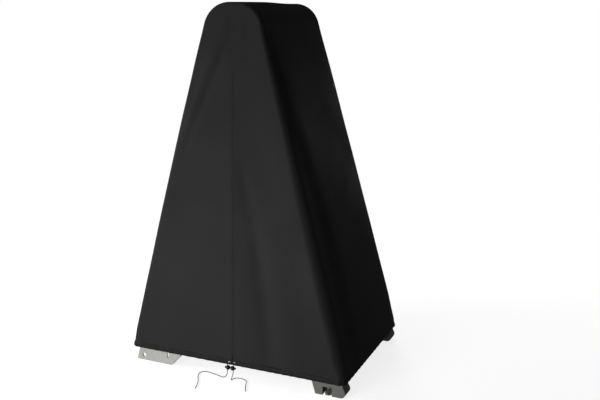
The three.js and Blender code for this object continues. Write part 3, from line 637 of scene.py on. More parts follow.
def uneven_group():
    """Soft blotches from 0 to 1, for uneven colour, dust and wear."""
    tree, given, put = shader_group(
        "Unevenness",
        [("Vector", VECTOR, None), ("Size", FLOAT, 0.1), ("Detail", FLOAT, 3.0)],
        [("Mask", FLOAT)],
    )
    scale = sum_of(tree, "DIVIDE", 1.0, given["Size"])
    cloud = add_node(
        tree, "ShaderNodeTexNoise", {"Vector": given["Vector"], "Scale": scale, "Detail": given["Detail"]}
    ).outputs["Fac"]
    spread = {"Value": cloud, "From Min": 0.32, "From Max": 0.68}
    mask = add_node(tree, "ShaderNodeMapRange", spread).outputs[0]
    tree.links.new(mask, put["Mask"])
    return tree


def grain_group():
    """The fine pebbling of a moulded surface: a height."""
    tree, given, put = shader_group(
        "Moulded grain", [("Vector", VECTOR, None), ("Size", FLOAT, 0.001)], [("Height", FLOAT)]
    )
    scale = sum_of(tree, "DIVIDE", 1.0, given["Size"])
    cells = add_node(
        tree, "ShaderNodeTexVoronoi", {"Vector": given["Vector"], "Scale": scale}, feature="SMOOTH_F1"
    ).outputs["Distance"]
    fine = add_node(
        tree, "ShaderNodeTexNoise", {"Vector": given["Vector"], "Scale": scale, "Detail": 3.0}
    ).outputs["Fac"]
    tree.links.new(sum_of(tree, "ADD", cells, fine), put["Height"])
    return tree


def brushed_group():
    """Fine lines along a tube or plate: a height and a tone."""
    tree, given, put = shader_group(
        "Brushed lines",
        [("Vector", VECTOR, None), ("Stretch", VECTOR, (2500, 2500, 40))],
        [("Height", FLOAT), ("Tone", FLOAT)],
    )
    place = add_node(
        tree, "ShaderNodeVectorMath", {0: given["Vector"], 1: given["Stretch"]}, operation="MULTIPLY"
    ).outputs[0]
    values = {"Vector": place, "Scale": 1.0, "Detail": 4.0}
    lines = add_node(tree, "ShaderNodeTexNoise", values).outputs["Fac"]
    tree.links.new(lines, put["Height"])
    tree.links.new(lines, put["Tone"])
    return tree


def braid_group():
    """Strands crossing round a cord, from its UVs in metres: a height."""
    tree, given, put = shader_group(
        "Braid",
        [("Vector", VECTOR, None), ("Round", FLOAT, 0.012), ("Pitch", FLOAT, 0.004)],
        [("Height", FLOAT)],
    )
    split = add_node(tree, "ShaderNodeSeparateXYZ", {0: given["Vector"]}).outputs
    turn = sum_of(tree, "MULTIPLY", sum_of(tree, "DIVIDE", split[0], given["Round"]), 8 * math.pi)
    along = sum_of(tree, "MULTIPLY", sum_of(tree, "DIVIDE", split[1], given["Pitch"]), 2 * math.pi)
    strands = [
        sum_of(tree, "ABSOLUTE", sum_of(tree, "SINE", sum_of(tree, how, turn, along)))
        for how in ("ADD", "SUBTRACT")
    ]
    tree.links.new(sum_of(tree, "MAXIMUM", *strands), put["Height"])
    return tree


GROUPS = {
    "threads": thread_group,
    "uneven": uneven_group,
    "grain": grain_group,
    "brushed": brushed_group,
    "braid": braid_group,
}
made_groups = {}


def use_group(tree, name, values):
    """One of the shared effects, placed in a material with its own values."""
    if name not in made_groups:
        made_groups[name] = GROUPS[name]()
    made = tree.nodes.new("ShaderNodeGroup")
    made.node_tree = made_groups[name]
    for key, value in values.items():
        if isinstance(value, bpy.types.NodeSocket):
            tree.links.new(value, made.inputs[key])
        else:
            made.inputs[key].default_value = value
    return made.outputs


def new_finish(name, **settings):
    """A material's tree and its Principled BSDF, with plain values on the shader's own sockets."""
    made = bpy.data.materials.new(name)
    made.use_nodes = True
    shader = made.node_tree.nodes["Principled BSDF"]
    for key, value in settings.items():
        shader.inputs[key.replace("_", " ")].default_value = value
    return made, made.node_tree, shader


def two_tone(tree, mask, dark, light):
    """A colour from dark to light by a mask."""
    return add_node(
        tree, "ShaderNodeMix", {"Factor": mask, 6: (*dark, 1), 7: (*light, 1)}, data_type="RGBA"
    ).outputs[2]


def scaled(colour, by):
    return tuple(min(c * by, 1.0) for c in colour)


def feed(tree, shader, colour=None, roughness=None, heights=()):
    """Links a colour, a roughness and bump heights, each (height, strength, distance), to the shader."""
    if colour:
        tree.links.new(colour, shader.inputs["Base Color"])
    if roughness:
        tree.links.new(roughness, shader.inputs["Roughness"])
    normal = None
    for height, strength, distance in heights:
        values = {"Height": height, "Strength": strength, "Distance": distance}
        if normal:
            values["Normal"] = normal
        normal = add_node(tree, "ShaderNodeBump", values).outputs[0]
    if normal:
        tree.links.new(normal, shader.inputs["Normal"])


def span(tree, mask, low, high):
    """A mask from 0..1 stretched to low..high."""
    return add_node(tree, "ShaderNodeMapRange", {"Value": mask, "To Min": low, "To Max": high}).outputs[0]


def cloth_finish(
    name, colour, pitch, rough=(0.62, 0.78), sheen=0.06, gloss=0.25, weave=0.00010, crumple=0.0004
):
    """Woven cloth on the sheet's own UVs."""
    made, tree, shader = new_finish(
        name, Sheen_Weight=sheen, Sheen_Roughness=0.45, Specular_IOR_Level=gloss
    )
    place = add_node(tree, "ShaderNodeTexCoord").outputs["UV"]
    weft = use_group(tree, "threads", {"Vector": place, "Pitch": pitch})
    wide = use_group(tree, "uneven", {"Vector": place, "Size": 0.35, "Detail": 4.0})["Mask"]
    small = use_group(tree, "uneven", {"Vector": place, "Size": 0.022, "Detail": 3.0})["Mask"]
    mask = sum_of(
        tree, "ADD", sum_of(tree, "MULTIPLY", weft["Tone"], 0.55), sum_of(tree, "MULTIPLY", wide, 0.45)
    )
    feed(
        tree,
        shader,
        two_tone(tree, mask, scaled(colour, 0.78), scaled(colour, 1.22)),
        span(tree, wide, *rough),
        [(small, 0.35, crumple), (weft["Height"], 0.5, weave)],
    )
    return made


def resin_finish(name, colour, rough=(0.38, 0.52), grain=0.0011, depth=0.00012, dust=0.18):
    """Moulded resin: a fine grain, uneven gloss, and dust that has settled in blotches."""
    made, tree, shader = new_finish(name, Specular_IOR_Level=0.4)
    place = add_node(tree, "ShaderNodeTexCoord").outputs["Object"]
    wide = use_group(tree, "uneven", {"Vector": place, "Size": 0.16, "Detail": 5.0})["Mask"]
    fine = use_group(tree, "uneven", {"Vector": place, "Size": 0.012, "Detail": 4.0})["Mask"]
    pebbles = use_group(tree, "grain", {"Vector": place, "Size": grain})["Height"]
    mask = sum_of(tree, "ADD", sum_of(tree, "MULTIPLY", wide, 0.6), sum_of(tree, "MULTIPLY", fine, 0.4))
    tone = two_tone(tree, mask, scaled(colour, 1 - dust), scaled(colour, 1.05))
    feed(tree, shader, tone, span(tree, fine, *rough), [(pebbles, 0.5, depth)])
    return made


def metal_finish(name, colour, rough, stretch, coordinates="Object", depth=0.00003):
    """Brushed or drawn metal."""
    made, tree, shader = new_finish(name, Metallic=1.0)
    place = add_node(tree, "ShaderNodeTexCoord").outputs[coordinates]
    lines = use_group(tree, "brushed", {"Vector": place, "Stretch": stretch})
    smudge = use_group(tree, "uneven", {"Vector": place, "Size": 0.05, "Detail": 4.0})["Mask"]
    drawn = sum_of(tree, "MULTIPLY", lines["Tone"], 0.7)
    mask = sum_of(tree, "ADD", drawn, sum_of(tree, "MULTIPLY", smudge, 0.3))
    feed(
        tree,
        shader,
        two_tone(tree, mask, scaled(colour, 0.86), scaled(colour, 1.08)),
        span(tree, mask, *rough),
        [(lines["Height"], 0.4, depth)],
    )
    return made


def cord_finish(name, colour, fleck):
    """Braided cord on the tube's own UVs."""
    made, tree, shader = new_finish(name, Sheen_Weight=0.15, Sheen_Roughness=0.5, Specular_IOR_Level=0.3)
    place = add_node(tree, "ShaderNodeTexCoord").outputs["UV"]
    strands = use_group(tree, "braid", {"Vector": place, "Round": 0.0119, "Pitch": 0.0052})["Height"]
    hairs = use_group(tree, "uneven", {"Vector": place, "Size": 0.0012, "Detail": 2.0})["Mask"]
    mask = sum_of(tree, "MULTIPLY", strands, span(tree, hairs, 0.6, 1.0))
    tone = two_tone(tree, mask, colour, fleck)
    feed(tree, shader, tone, span(tree, hairs, 0.7, 0.85), [(strands, 0.7, 0.0003)])
    return made


def colours():
    return bpy.context.scene.ladder_colours


MAKE_MATERIAL = {
    "cover cloth": lambda name: cloth_finish(name, colours().cover, 0.0011),
    "silver lining": lambda name: cloth_finish(
        name, colours().lining, 0.0011, (0.42, 0.6), 0.0, 0.5, 0.00005, 0.0006
    ),
    # the hem's cloth is the cover's colour darkened to 0.72: painted shade along the hem's channel seam
    "painted shade hem cloth": lambda name: cloth_finish(name, scaled(colours().cover, 0.72), 0.0009),
    "zip tape": lambda name: cloth_finish(name, scaled(colours().cover, 0.6), 0.0005),
    "sewing thread": lambda name: cord_finish(
        name, scaled(colours().cover, 0.9), scaled(colours().cover, 1.9)
    ),
    "black cord": lambda name: cord_finish(name, (0.022, 0.022, 0.023), (0.085, 0.085, 0.088)),
    "zip plastic": lambda name: resin_finish(name, (0.018, 0.018, 0.019), (0.28, 0.42), 0.0006, 0.00002),
    "lock plastic": lambda name: resin_finish(name, (0.010, 0.010, 0.011), (0.12, 0.22), 0.0008, 0.00001),
    "light resin": lambda name: resin_finish(
        name, colours().side_panels, (0.42, 0.58), 0.0012, 0.00014, 0.14
    ),
    "white resin": lambda name: resin_finish(name, colours().deck, (0.38, 0.52), 0.0012, 0.00012, 0.12),
    "tread resin": lambda name: resin_finish(name, colours().treads, (0.48, 0.62), 0.0010, 0.00014, 0.2),
    "guard resin": lambda name: resin_finish(name, (0.070, 0.065, 0.060), (0.46, 0.6), 0.0011, 0.00014, 0.2),
    "shoe resin": lambda name: resin_finish(name, colours().shoes, (0.45, 0.58), 0.0011, 0.00014, 0.2),
    "mat rubber": lambda name: resin_finish(
        name, (0.026, 0.027, 0.024), (0.72, 0.86), 0.0008, 0.00018, 0.25
    ),
    "plug plastic": lambda name: resin_finish(name, (0.022, 0.022, 0.023), (0.4, 0.5)),
    "satin aluminium": lambda name: metal_finish(
        name, (0.60, 0.60, 0.59), (0.26, 0.42), (1800, 14, 1), "UV"
    ),
    "plated steel": lambda name: metal_finish(name, (0.62, 0.61, 0.58), (0.20, 0.38), (900, 900, 60)),
}


# ---- The cover's pieces ----

SLOPE_ROWS, BEND_ROWS, FLAT_ROWS = 116, 16, 3
CLOTH_START = 0.010  # the cloth starts inside its hem


def up_rows(v, flat=False):
    """The length up the outline at a row, for v from 0 to 1."""
    rows = SLOPE_ROWS + BEND_ROWS + (FLAT_ROWS if flat else 0)
    row = v * rows
    if row <= SLOPE_ROWS:
        return CLOTH_START + (SLOPE_LENGTH - CLOTH_START) * row / SLOPE_ROWS
    row -= SLOPE_ROWS
    if row <= BEND_ROWS:
        return SLOPE_LENGTH + BEND_LENGTH * row / BEND_ROWS
    return SLOPE_LENGTH + BEND_LENGTH + SHOULDER_X * min((row - BEND_ROWS) / FLAT_ROWS, 1.0)


def slit(z):
    """Half the width of the front's opening under its zip."""
    return (0.0005 + 0.0037 * ease((BASE_Z + 0.060 - z) / 0.02)) * ease((APEX_Z - z) / 0.03)


def front_half(side):
    """Half of the front, from the zip to the corner seam and from the hem to the top."""

    def place(u, v):
        x_outer, z, _ = outline(up_rows(v))
        t = u if side > 0 else 1 - u
        inner = slit(z)
        x = inner + (x_outer - inner) * (1 - (1 - t) ** 1.35)
        x = side * max(x, 5e-10)  # never 0, so its sign says which side it belongs to
        return face_point(x, z), (x, (z - BASE_Z) / math.cos(FACE_LEAN))

    name = "left" if side < 0 else "right"
    piece = cloth_grid(f"cover_front_{name}", 48, SLOPE_ROWS + BEND_ROWS, place)
    flap_blend(piece, side)
    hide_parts(f"cover_{name}_flap", "cover_front_upper_panel")


class AddFront(bpy.types.Operator):
    """Adds the two halves of the cover's front"""

    bl_idname = "pool_ladder.add_front"
    bl_label = "Cover front"

    def execute(self, context):
        front_half(-1)
        front_half(1)
        return {"FINISHED"}


class AddBack(bpy.types.Operator):
    """Adds the cover's back, one sheet from the hem to the top"""

    bl_idname = "pool_ladder.add_back"
    bl_label = "Cover back"

    def execute(self, context):
        def place(u, v):
            x_outer, z, _ = outline(up_rows(v))
            t = 1 - 2 * u
            x = math.copysign(x_outer * (1 - (1 - abs(t)) ** 1.35), t)
            return face_point(x, z, back=True), (x, (z - BASE_Z) / math.cos(FACE_LEAN))

        piece = cloth_grid("cover_back", 84, SLOPE_ROWS + BEND_ROWS, place)
        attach(piece, "cover")
        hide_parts("cover_back_panel")
        return {"FINISHED"}


class AddEnds(bpy.types.Operator):
    """Adds the cloth strip that runs up one end, over the top and down the other end, and the corner seams"""

    bl_idname = "pool_ladder.add_ends"
    bl_label = "Cover ends and top"

    def execute(self, context):
        def place(u, v):
            side = 1 if v <= 0.5 else -1
            s = up_rows(2 * v if v <= 0.5 else 2 - 2 * v, flat=True)
            t = 2 * u - 1
            reach = half_depth(outline(s)[1])
            y = math.copysign(reach * (1 - (1 - abs(t)) ** 1.5), t)
            return end_point(side, s, y), (y, side * (s - HALF_OUTLINE))

        rows = 2 * (SLOPE_ROWS + BEND_ROWS + FLAT_ROWS)
        piece = cloth_grid("cover_ends_and_top", 64, rows, place)
        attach(piece, "cover")
        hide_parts("cover_left_gusset", "cover_right_gusset", "cover_top_gusset")
        for name, towards in (("front", -1), ("back", 1)):
            self.corner_seam(name, towards)
        return {"FINISHED"}

    def corner_seam(self, name, towards):
        """The sewn ridge where a face meets the strip."""
        points, ups = [], []
        rows = SLOPE_ROWS + BEND_ROWS + FLAT_ROWS
        for side in (1, -1):
            order = range(rows + 1) if side > 0 else range(rows - 1, -1, -1)
            for row in order:
                s = max(up_rows(row / rows, flat=True), 0.02)
                x, z, normal = outline(s)
                points.append(end_point(side, s, towards * half_depth(z)))
                ups.append(Vector((side * normal.x, towards, normal.y)).normalized())
        bm = bmesh.new()
        layer = bm.loops.layers.uv.new("Cloth")
        sweep(bm, ring(8, 0.0020, 0.0014), stations(points, lambda i, z: ups[i]), layer=layer)
        add_piece(f"cover_seam_{name}", bm, "cover", ["cover cloth"])


HEM_CORNER = 0.030
HEM_PATH_INSET = 0.0015  # from the cover's side to the middle of the hem's thickness


def hem_line():
    """Points along the hem's middle, from the zip all the way round to it, with outward normals in plan."""
    z = BASE_Z + HEM_TALL / 2
    x = BASE_X - HEM_TALL / 2 * SIDE_SLOPE - HEM_PATH_INSET
    y = half_depth(z) - HEM_PATH_INSET
    radius = HEM_CORNER - HEM_PATH_INSET
    line = []

    def run(a, b, normal):
        steps = max(int((b - a).length / 0.010), 1)
        for k in range(steps):
            line.append((a.lerp(b, k / steps), normal))

    def bend(cx, cy, start):
        for k in range(7):
            turn = math.radians(start - 90 * k / 7)
            normal = Vector((math.cos(turn), math.sin(turn), 0))
            line.append((Vector((cx, cy, z)) + normal * radius, normal))

    left, front, right, rear = (Vector(n) for n in ((-1, 0, 0), (0, -1, 0), (1, 0, 0), (0, 1, 0)))
    run(Vector((0, -y, z)), Vector((radius - x, -y, z)), front)
    bend(radius - x, radius - y, 270)
    run(Vector((-x, radius - y, z)), Vector((-x, y - radius, z)), left)
    bend(radius - x, y - radius, 180)
    run(Vector((radius - x, y, z)), Vector((x - radius, y, z)), rear)
    bend(x - radius, y - radius, 90)
    run(Vector((x, y - radius, z)), Vector((x, radius - y, z)), right)
    bend(x - radius, radius - y, 0)
    run(Vector((x - radius, -y, z)), Vector((0, -y, z)), front)
    return line


HEM_SPLIT = 0.598  # the flaps' hems reach this far from the zip
HEM_START = 0.0046


def hem_parts():
    """The hem's line in three parts: the left flap's, the one round the sides and back, the right flap's."""
    line = hem_line()
    z = line[0][0].z
    y = line[0][0].y
    front = Vector((0, -1, 0))

    def of(test):
        return [(p, n) for p, n in line if test(p)]

    def on_front(p):
        return abs(p.y - y) < 1e-6

    def at(x):
        return (Vector((x, y, z)), front)

    left = [at(-HEM_START), *of(lambda p: on_front(p) and -HEM_SPLIT < p.x < -HEM_START), at(-HEM_SPLIT)]
    right = [at(HEM_SPLIT), *of(lambda p: on_front(p) and HEM_START < p.x < HEM_SPLIT), at(HEM_START)]
    round_back = [
        at(-HEM_SPLIT - 0.0004),
        *of(lambda p: not (on_front(p) and abs(p.x) <= HEM_SPLIT)),
        at(HEM_SPLIT + 0.0004),
    ]
    return {"left": left, "cover": round_back, "right": right}


def hem_up(normal):
    """The way up a hem's side, which leans as its wall does."""
    return Vector((-normal.x * SIDE_SLOPE, -normal.y * FACE_SLOPE, 1)).normalized()


def hem_offset(point, normal):
    """The gathers at a place on the hem."""
    along = point.y + 6 * normal.x if abs(normal.x) > 0.7 else point.x + (3 if normal.y > 0 else 0)
    return 1.3 * hem_gathers(along, 0.02)


class AddHem(bpy.types.Operator):
    """Adds the hem with its gathers, its stitching and the drawcord inside it"""

    bl_idname = "pool_ladder.add_hem"
    bl_label = "Hem and drawcord"

    def execute(self, context):
        for name, line in hem_parts().items():
            points = [p + n * hem_offset(p, n) for p, n in line]
            ups = [hem_up(n) for _, n in line]
            self.add_band(name, points, ups)
            self.add_stitching(name, points, ups, [n for _, n in line])
            self.add_drawcord(name, points, ups)
        return {"FINISHED"}

    def placed(self, piece, name, *nodes):
        """Sets what the cover's own pieces ride on, and the nodes that a piece stands for; a flap's piece
        only has its place baked in.
        """
        if name == "cover":
            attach(piece, "cover")
        else:
            flap_blend(piece, -1 if name == "left" else 1)
        if nodes:
            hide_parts(*nodes)

    def add_band(self, name, points, ups):
        bm = bmesh.new()
        layer = bm.loops.layers.uv.new("Cloth")
        path = stations(points, lambda i, z: ups[i])
        sweep(bm, ring(18, 0.0082, HEM_TALL, 2.7), path, layer=layer)
        piece = add_piece(f"{name}_hem", bm, finishes=["painted shade hem cloth"])
        self.placed(piece, name, "hem_channel" if name == "cover" else f"{name}_flap_hem")

    def add_stitching(self, name, points, ups, normals):
        bm = bmesh.new()
        line = [p + up * 0.0098 + n * 0.0037 for p, up, n in zip(points, ups, normals)]
        stitches(bm, line, normals)
        piece = add_piece(f"{name}_hem_stitches", bm, finishes=["sewing thread"], crisp=90)
        self.placed(piece, name)

    def add_drawcord(self, name, points, ups):
        bm = bmesh.new()
        layer = bm.loops.layers.uv.new("Along")
        inside = [p for p in points if abs(p.x) > 0.022 or p.y > 0]
        sweep(bm, ring(8, 0.0038, 0.0038), stations(inside, lambda i, z: Vector((0, 0, 1))), layer=layer)
        piece = add_piece(f"{name}_drawcord", bm, finishes=["black cord"])
        self.placed(piece, name, "hem_drawcord" if name == "cover" else f"{name}_flap_drawcord")


ZIP_FOOT, ZIP_HEAD = 0.047, 1.500


class AddZip(bpy.types.Operator):
    """Adds the zip's tapes, teeth and stitching, its slider, pull tab and top stop"""

    bl_idname = "pool_ladder.add_zip"
    bl_label = "Zip"

    def execute(self, context):
        for side, name in ((-1, "left"), (1, "right")):
            self.add_tape(side, name)
            self.add_teeth(side, name)
            self.add_stitching(side, name)
        refined("zip_slider", "zip plastic", 0.0004, "zip_slider_body")
        refined("zip_pull_tab", "zip plastic", 0.0004, "zip_pull")
        refined("zip_top_stop", "zip plastic", 0.0006, "zip_end_stop")
        return {"FINISHED"}

    def height(self, up):
        return BASE_Z + up * math.cos(FACE_LEAN)

    def add_tape(self, side, name):
        def place(u, v):
            t = u if side > 0 else 1 - u
            x = side * (0.0002 + 0.0142 * t)
            z = self.height(0.030 + (APEX + 0.02 - 0.030) * v)
            return face_point(x, z, out=-0.0022), (x, z)

        tape = cloth_grid(f"{name}_zip_cloth", 3, 120, place, 0.0007, ("zip tape",))
        flap_blend(tape, side)
        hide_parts(f"{name}_zip_tape")

    def add_teeth(self, side, name):
        bm = bmesh.new()
        pitch = 0.0026
        count = int((ZIP_HEAD - ZIP_FOOT) / pitch)
        for k in range(count):
            z = self.height(ZIP_FOOT + (k + (0.5 if side > 0 else 0)) * pitch)
            centre = face_point(side * 0.0018, z, out=-0.0041)
            size = Matrix.Diagonal((0.0027, 0.0011, 0.0008, 1))
            bmesh.ops.create_icosphere(
                bm, subdivisions=1, radius=1, matrix=Matrix.Translation(centre) @ size
            )
        teeth = add_piece(f"{name}_zip_teeth", bm, finishes=["zip plastic"], crisp=90)
        flap_blend(teeth, side)
        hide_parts(f"{name}_zip_coil")

    def add_stitching(self, side, name):
        bm = bmesh.new()
        for x in (0.0062, 0.0118):
            points = [
                face_point(side * x, self.height(0.031 + (APEX - 0.031) * k / 150), out=0.0001)
                for k in range(151)
            ]
            stitches(bm, points, [Vector((0, -1, 0))] * len(points))
        sewn = add_piece(f"{name}_zip_stitches", bm, finishes=["sewing thread"], crisp=90)
        flap_blend(sewn, side)


# ---- The drawcord's ends ----

CORD_WIDTH = 0.0038
# Each free end's route, from inside its eyelet, down through its lock and along the floor
LEFT_TAIL = (
    (-0.017, -0.437, 0.089), (-0.017, -0.443, 0.089), (-0.017, -0.449, 0.089), (-0.017, -0.4545, 0.0875),
    (-0.017, -0.4585, 0.0835), (-0.017, -0.46, 0.078), (-0.017, -0.46, 0.07), (-0.017, -0.46, 0.061),
    (-0.0173, -0.46, 0.051), (-0.0185, -0.4605, 0.04), (-0.0215, -0.461, 0.029), (-0.028, -0.46, 0.018),
    (-0.039, -0.456, 0.009), (-0.055, -0.45, 0.0036), (-0.076, -0.443, 0.0021), (-0.1, -0.437, 0.0021),
    (-0.127, -0.431, 0.0021), (-0.153, -0.4265, 0.0021), (-0.174, -0.4275, 0.0021),
    (-0.187, -0.438, 0.0021), (-0.191, -0.455, 0.0021), (-0.186, -0.475, 0.0021), (-0.176, -0.497, 0.0021),
    (-0.162, -0.519, 0.0021), (-0.149, -0.542, 0.0021), (-0.138, -0.567, 0.0021), (-0.129, -0.593, 0.0021),
    (-0.121, -0.618, 0.0021),
)
RIGHT_TAIL = (
    (0.017, -0.437, 0.089), (0.017, -0.443, 0.089), (0.017, -0.449, 0.089), (0.017, -0.4545, 0.0875),
    (0.017, -0.4585, 0.0835), (0.017, -0.46, 0.078), (0.017, -0.46, 0.07), (0.017, -0.46, 0.061),
    (0.0168, -0.46, 0.051), (0.016, -0.461, 0.041), (0.0144, -0.4635, 0.031), (0.0122, -0.467, 0.0215),
    (0.01, -0.469, 0.0132), (0.0084, -0.4675, 0.007), (0.0072, -0.462, 0.003), (0.0065, -0.454, 0.0021),
    (0.008, -0.444, 0.0021), (0.0135, -0.435, 0.0021), (0.023, -0.429, 0.0021), (0.035, -0.4265, 0.0021),
    (0.049, -0.4265, 0.0021), (0.064, -0.43, 0.0021), (0.078, -0.4385, 0.0021), (0.088, -0.452, 0.0021),
    (0.095, -0.469, 0.0021), (0.102, -0.488, 0.0021), (0.111, -0.507, 0.0021), (0.121, -0.527, 0.0021),
    (0.131, -0.546, 0.0021),
)


# The lip round a cord lock's hole, as (radius, height)
LOCK_LIP = (
    (0.0021, -0.0015), (0.0021, 0.0004), (0.0025, 0.0009), (0.0031, 0.0008),
    (0.0036, 0.0), (0.0036, -0.0015), (0.0021, -0.0015),
)


class AddCords(bpy.types.Operator):
    """Adds the drawcord's two free ends, with their eyelets and spring cord locks"""

    bl_idname = "pool_ladder.add_cords"
    bl_label = "Cord ends and locks"

    def execute(self, context):
        for side, name, route in ((-1, "left", LEFT_TAIL), (1, "right", RIGHT_TAIL)):
            self.add_tail(name, route)
            self.add_eyelet(name)
            self.add_lock(side, name)
        return {"FINISHED"}

    def add_tail(self, name, route):
        path = smooth_path(route, 5)
        bm = bmesh.new()
        layer = bm.loops.layers.uv.new("Along")
        up = Vector((1, 0, 0))
        places = stations(path, lambda i, z: up if abs(z.x) < 0.8 else Vector((0, 0, 1)))
        # one frame is carried along the cord, so its braid doesn't jump
        for i in range(1, len(places)):
            before, here = places[i - 1], places[i]
            turn = before.col[2].to_3d().rotation_difference(here.col[2].to_3d())
            carried = turn.to_matrix() @ before.to_3x3()
            places[i] = Matrix.Translation(here.translation) @ carried.to_4x4()
        for shrink, on in ((0.82, 0.0006), (0.45, 0.0010)):
            tip = places[-1].copy() if shrink == 0.82 else places[-2].copy()
            tip.translation += tip.col[2].to_3d() * on
            places.append(tip @ Matrix.Diagonal((shrink, shrink, 1, 1)))
        sweep(bm, ring(12, CORD_WIDTH, CORD_WIDTH), places, layer=layer)
        piece = add_piece(f"{name}_cord_end", bm, f"{name}_flap", ["black cord"])
        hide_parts(f"{name}_cord_tail")

    def add_eyelet(self, name):
        low, high = (Vector(c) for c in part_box(f"{name}_eyelet"))
        middle = (low + high) / 2
        bm = bmesh.new()
        rows = [
            (0.0030, 0.0),
            (0.0031, 0.0012),
            (0.0037, 0.0018),
            (0.0046, 0.0019),
            (0.0056, 0.0014),
            (0.0064, 0.0005),
            (0.0065, 0.0),
            (0.0030, 0.0),
        ]
        spun(bm, rows, facing((middle.x, high.y, middle.z), (0, -1, FACE_SLOPE)), steps=28)
        piece = add_piece(f"{name}_eyelet_ring", bm, f"{name}_flap", ["plated steel"])
        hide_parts(f"{name}_eyelet")

    def add_lock(self, side, name):
        low, high = (Vector(c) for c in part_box(f"{name}_cord_lock_ball"))
        radius = (high.z - low.z) / 2
        middle = (low + high) / 2
        middle.x = (low.x + radius) if side > 0 else (high.x - radius)
        axis = facing(middle, (side, 0, 0))
        bm = bmesh.new()
        rows = [(0.0, -radius)]
        turns = [math.radians(degrees) for degrees in range(-80, 51, 10)]
        rows += [(radius * math.cos(turn), radius * math.sin(turn)) for turn in turns]
        rows += [(0.0074, 0.0098), (0.0069, 0.0101), (0.0063, 0.0097)]
        rows += [(0.0062, 0.0080), (0.0062, -0.0090), (0.0, -0.0090)]
        spun(bm, rows, axis, steps=32)
        for towards in (1, -1):
            mouth = middle + Vector((side * 0.004, 0, towards * math.sqrt(radius**2 - 0.004**2)))
            spun(bm, LOCK_LIP, facing(mouth, (0, 0, towards)), steps=20)
        ball = add_piece(f"{name}_lock_body", bm, f"{name}_flap", ["lock plastic"], crisp=50)
        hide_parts(f"{name}_cord_lock_ball")

        bm = bmesh.new()
        foot, head, width = -0.0017, radius + 0.0055, 0.0058
        rows = [
            (0.0, foot),
            (width, foot),
            (width, head - 0.0012),
            (width - 0.0004, head - 0.0004),
            (width - 0.0012, head),
            (width - 0.0020, head - 0.0004),
            (0.0015, head - 0.0010),
            (0.0, head - 0.0010),
        ]
        spun(bm, rows, axis, steps=24)
        button = add_piece(
            f"{name}_lock_push", bm, f"{name}_lock_button", ["lock plastic"], crisp=50
        )
        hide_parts(f"{name}_cord_lock_button")
        self.add_spring(side, name)

    def add_spring(self, side, name):
        """The coil spring behind the button."""
        node = f"{name}_cord_lock_spring"
        low, high = (Vector(c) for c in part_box(node))
        middle = (low + high) / 2
        wire, turns, steps = 0.0004, 5, 14
        radius = (high.z - low.z) / 2 - wire
        points = []
        for k in range(turns * steps + 1):
            turn = 2 * math.pi * k / steps
            along = low.x + wire + (high.x - low.x - 2 * wire) * k / (turns * steps)
            around = Vector((0, radius * math.cos(turn), radius * math.sin(turn)))
            points.append(Vector((along, middle.y, middle.z)) + around)
        bm = bmesh.new()
        sweep(bm, ring(6, 2 * wire, 2 * wire), stations(points, (1, 0, 0)))
        spring = add_piece(f"{name}_lock_coil", bm, BODY_OF[node], ["plated steel"], crisp=60)
        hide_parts(node)
        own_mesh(spring)


# ---- The ladder ----

TUBE_INSET = 0.038
TUBE_RADIUS = 0.016
HINGE_HEIGHT = 1.700
PANEL_INSET = 0.0122  # from the cloth's flat wall to a side panel's outer side
RAIL_END, HANDRAIL_END = HINGE_HEIGHT + 0.021, HINGE_HEIGHT + 0.031
STEP_NAMES = [f"{ladder}_step_{i}" for ladder in ("outer", "inner") for i in (1, 2, 3, 4)]
FACES = (("front", -1), ("back", 1))


def up_face(z):
    return (z - BASE_Z) / math.cos(FACE_LEAN)


def on_rail(x, up, towards, inset=TUBE_INSET):
    """A point of the tube line in a face's plane."""
    y = BASE_Y - up * math.sin(FACE_LEAN) - inset * math.cos(FACE_LEAN)
    return Vector((x, towards * y, BASE_Z + up * math.cos(FACE_LEAN) - inset * math.sin(FACE_LEAN)))


def rail_x(z):
    return BASE_X - (z - BASE_Z) * SIDE_SLOPE - TUBE_INSET / math.cos(SIDE_LEAN)


class AddSidePanels(bpy.types.Operator):
    """Adds the outer ladder's two moulded side panels, with the bolts that hold its treads"""

    bl_idname = "pool_ladder.add_side_panels"
    bl_label = "Side panels"

    def execute(self, context):
        bm = bmesh.new()
        for name, towards in FACES:
            refined(f"outer_side_panel_{name}", "light resin", 0.0022, f"side_panel_{name}")
            for i in (1, 2, 3, 4):
                low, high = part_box(f"outer_step_{i}")
                z = (low[2] + high[2]) / 2
                for share in (0.25, 0.75):
                    x = low[0] + (high[0] - low[0]) * share
                    y = half_depth(z) - PANEL_INSET
                    bolt(bm, (x, towards * y, z), (0, towards, FACE_SLOPE), 0.0075, 0.0032)
            for z in (1.155, 1.225):
                y = half_depth(z) - PANEL_INSET
                bolt(bm, (-rail_x(z), towards * y, z), (0, towards, FACE_SLOPE), 0.0065, 0.0035)
        add_piece("frame_bolts", bm, "ladder_frame", ["plated steel"], crisp=30)
        refined("climb_guard_panel", "guard resin", 0.0012, "climb_guard")
        return {"FINISHED"}


class AddTreads(bpy.types.Operator):
    """Adds both ladders' treads, with raised grips along them"""

    bl_idname = "pool_ladder.add_treads"
    bl_label = "Treads"

    def execute(self, context):
        grips = context.scene.ladder_sizes.tread_grips
        for node in STEP_NAMES:
            low, high = (Vector(c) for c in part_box(node))

            def add_grips(bm, low=low, high=high):
                pitch = (high.x - low.x - 0.016) / grips
                for k in range(grips):
                    x = low.x + 0.008 + pitch * (k + 0.5)
                    made = bmesh.ops.create_cube(bm, size=1)["verts"]
                    size = Vector((0.0045, high.y - low.y - 0.036, 0.0030))
                    place = Vector((x, 0, high.z - 0.0004))
                    bmesh.ops.transform(
                        bm, matrix=Matrix.Translation(place) @ Matrix.Diagonal((*size, 1)), verts=made
                    )

            finish = "tread resin" if node.startswith("outer") else "white resin"
            refined(node, finish, 0.0010, node.replace("step", "tread"), add_grips)
        return {"FINISHED"}


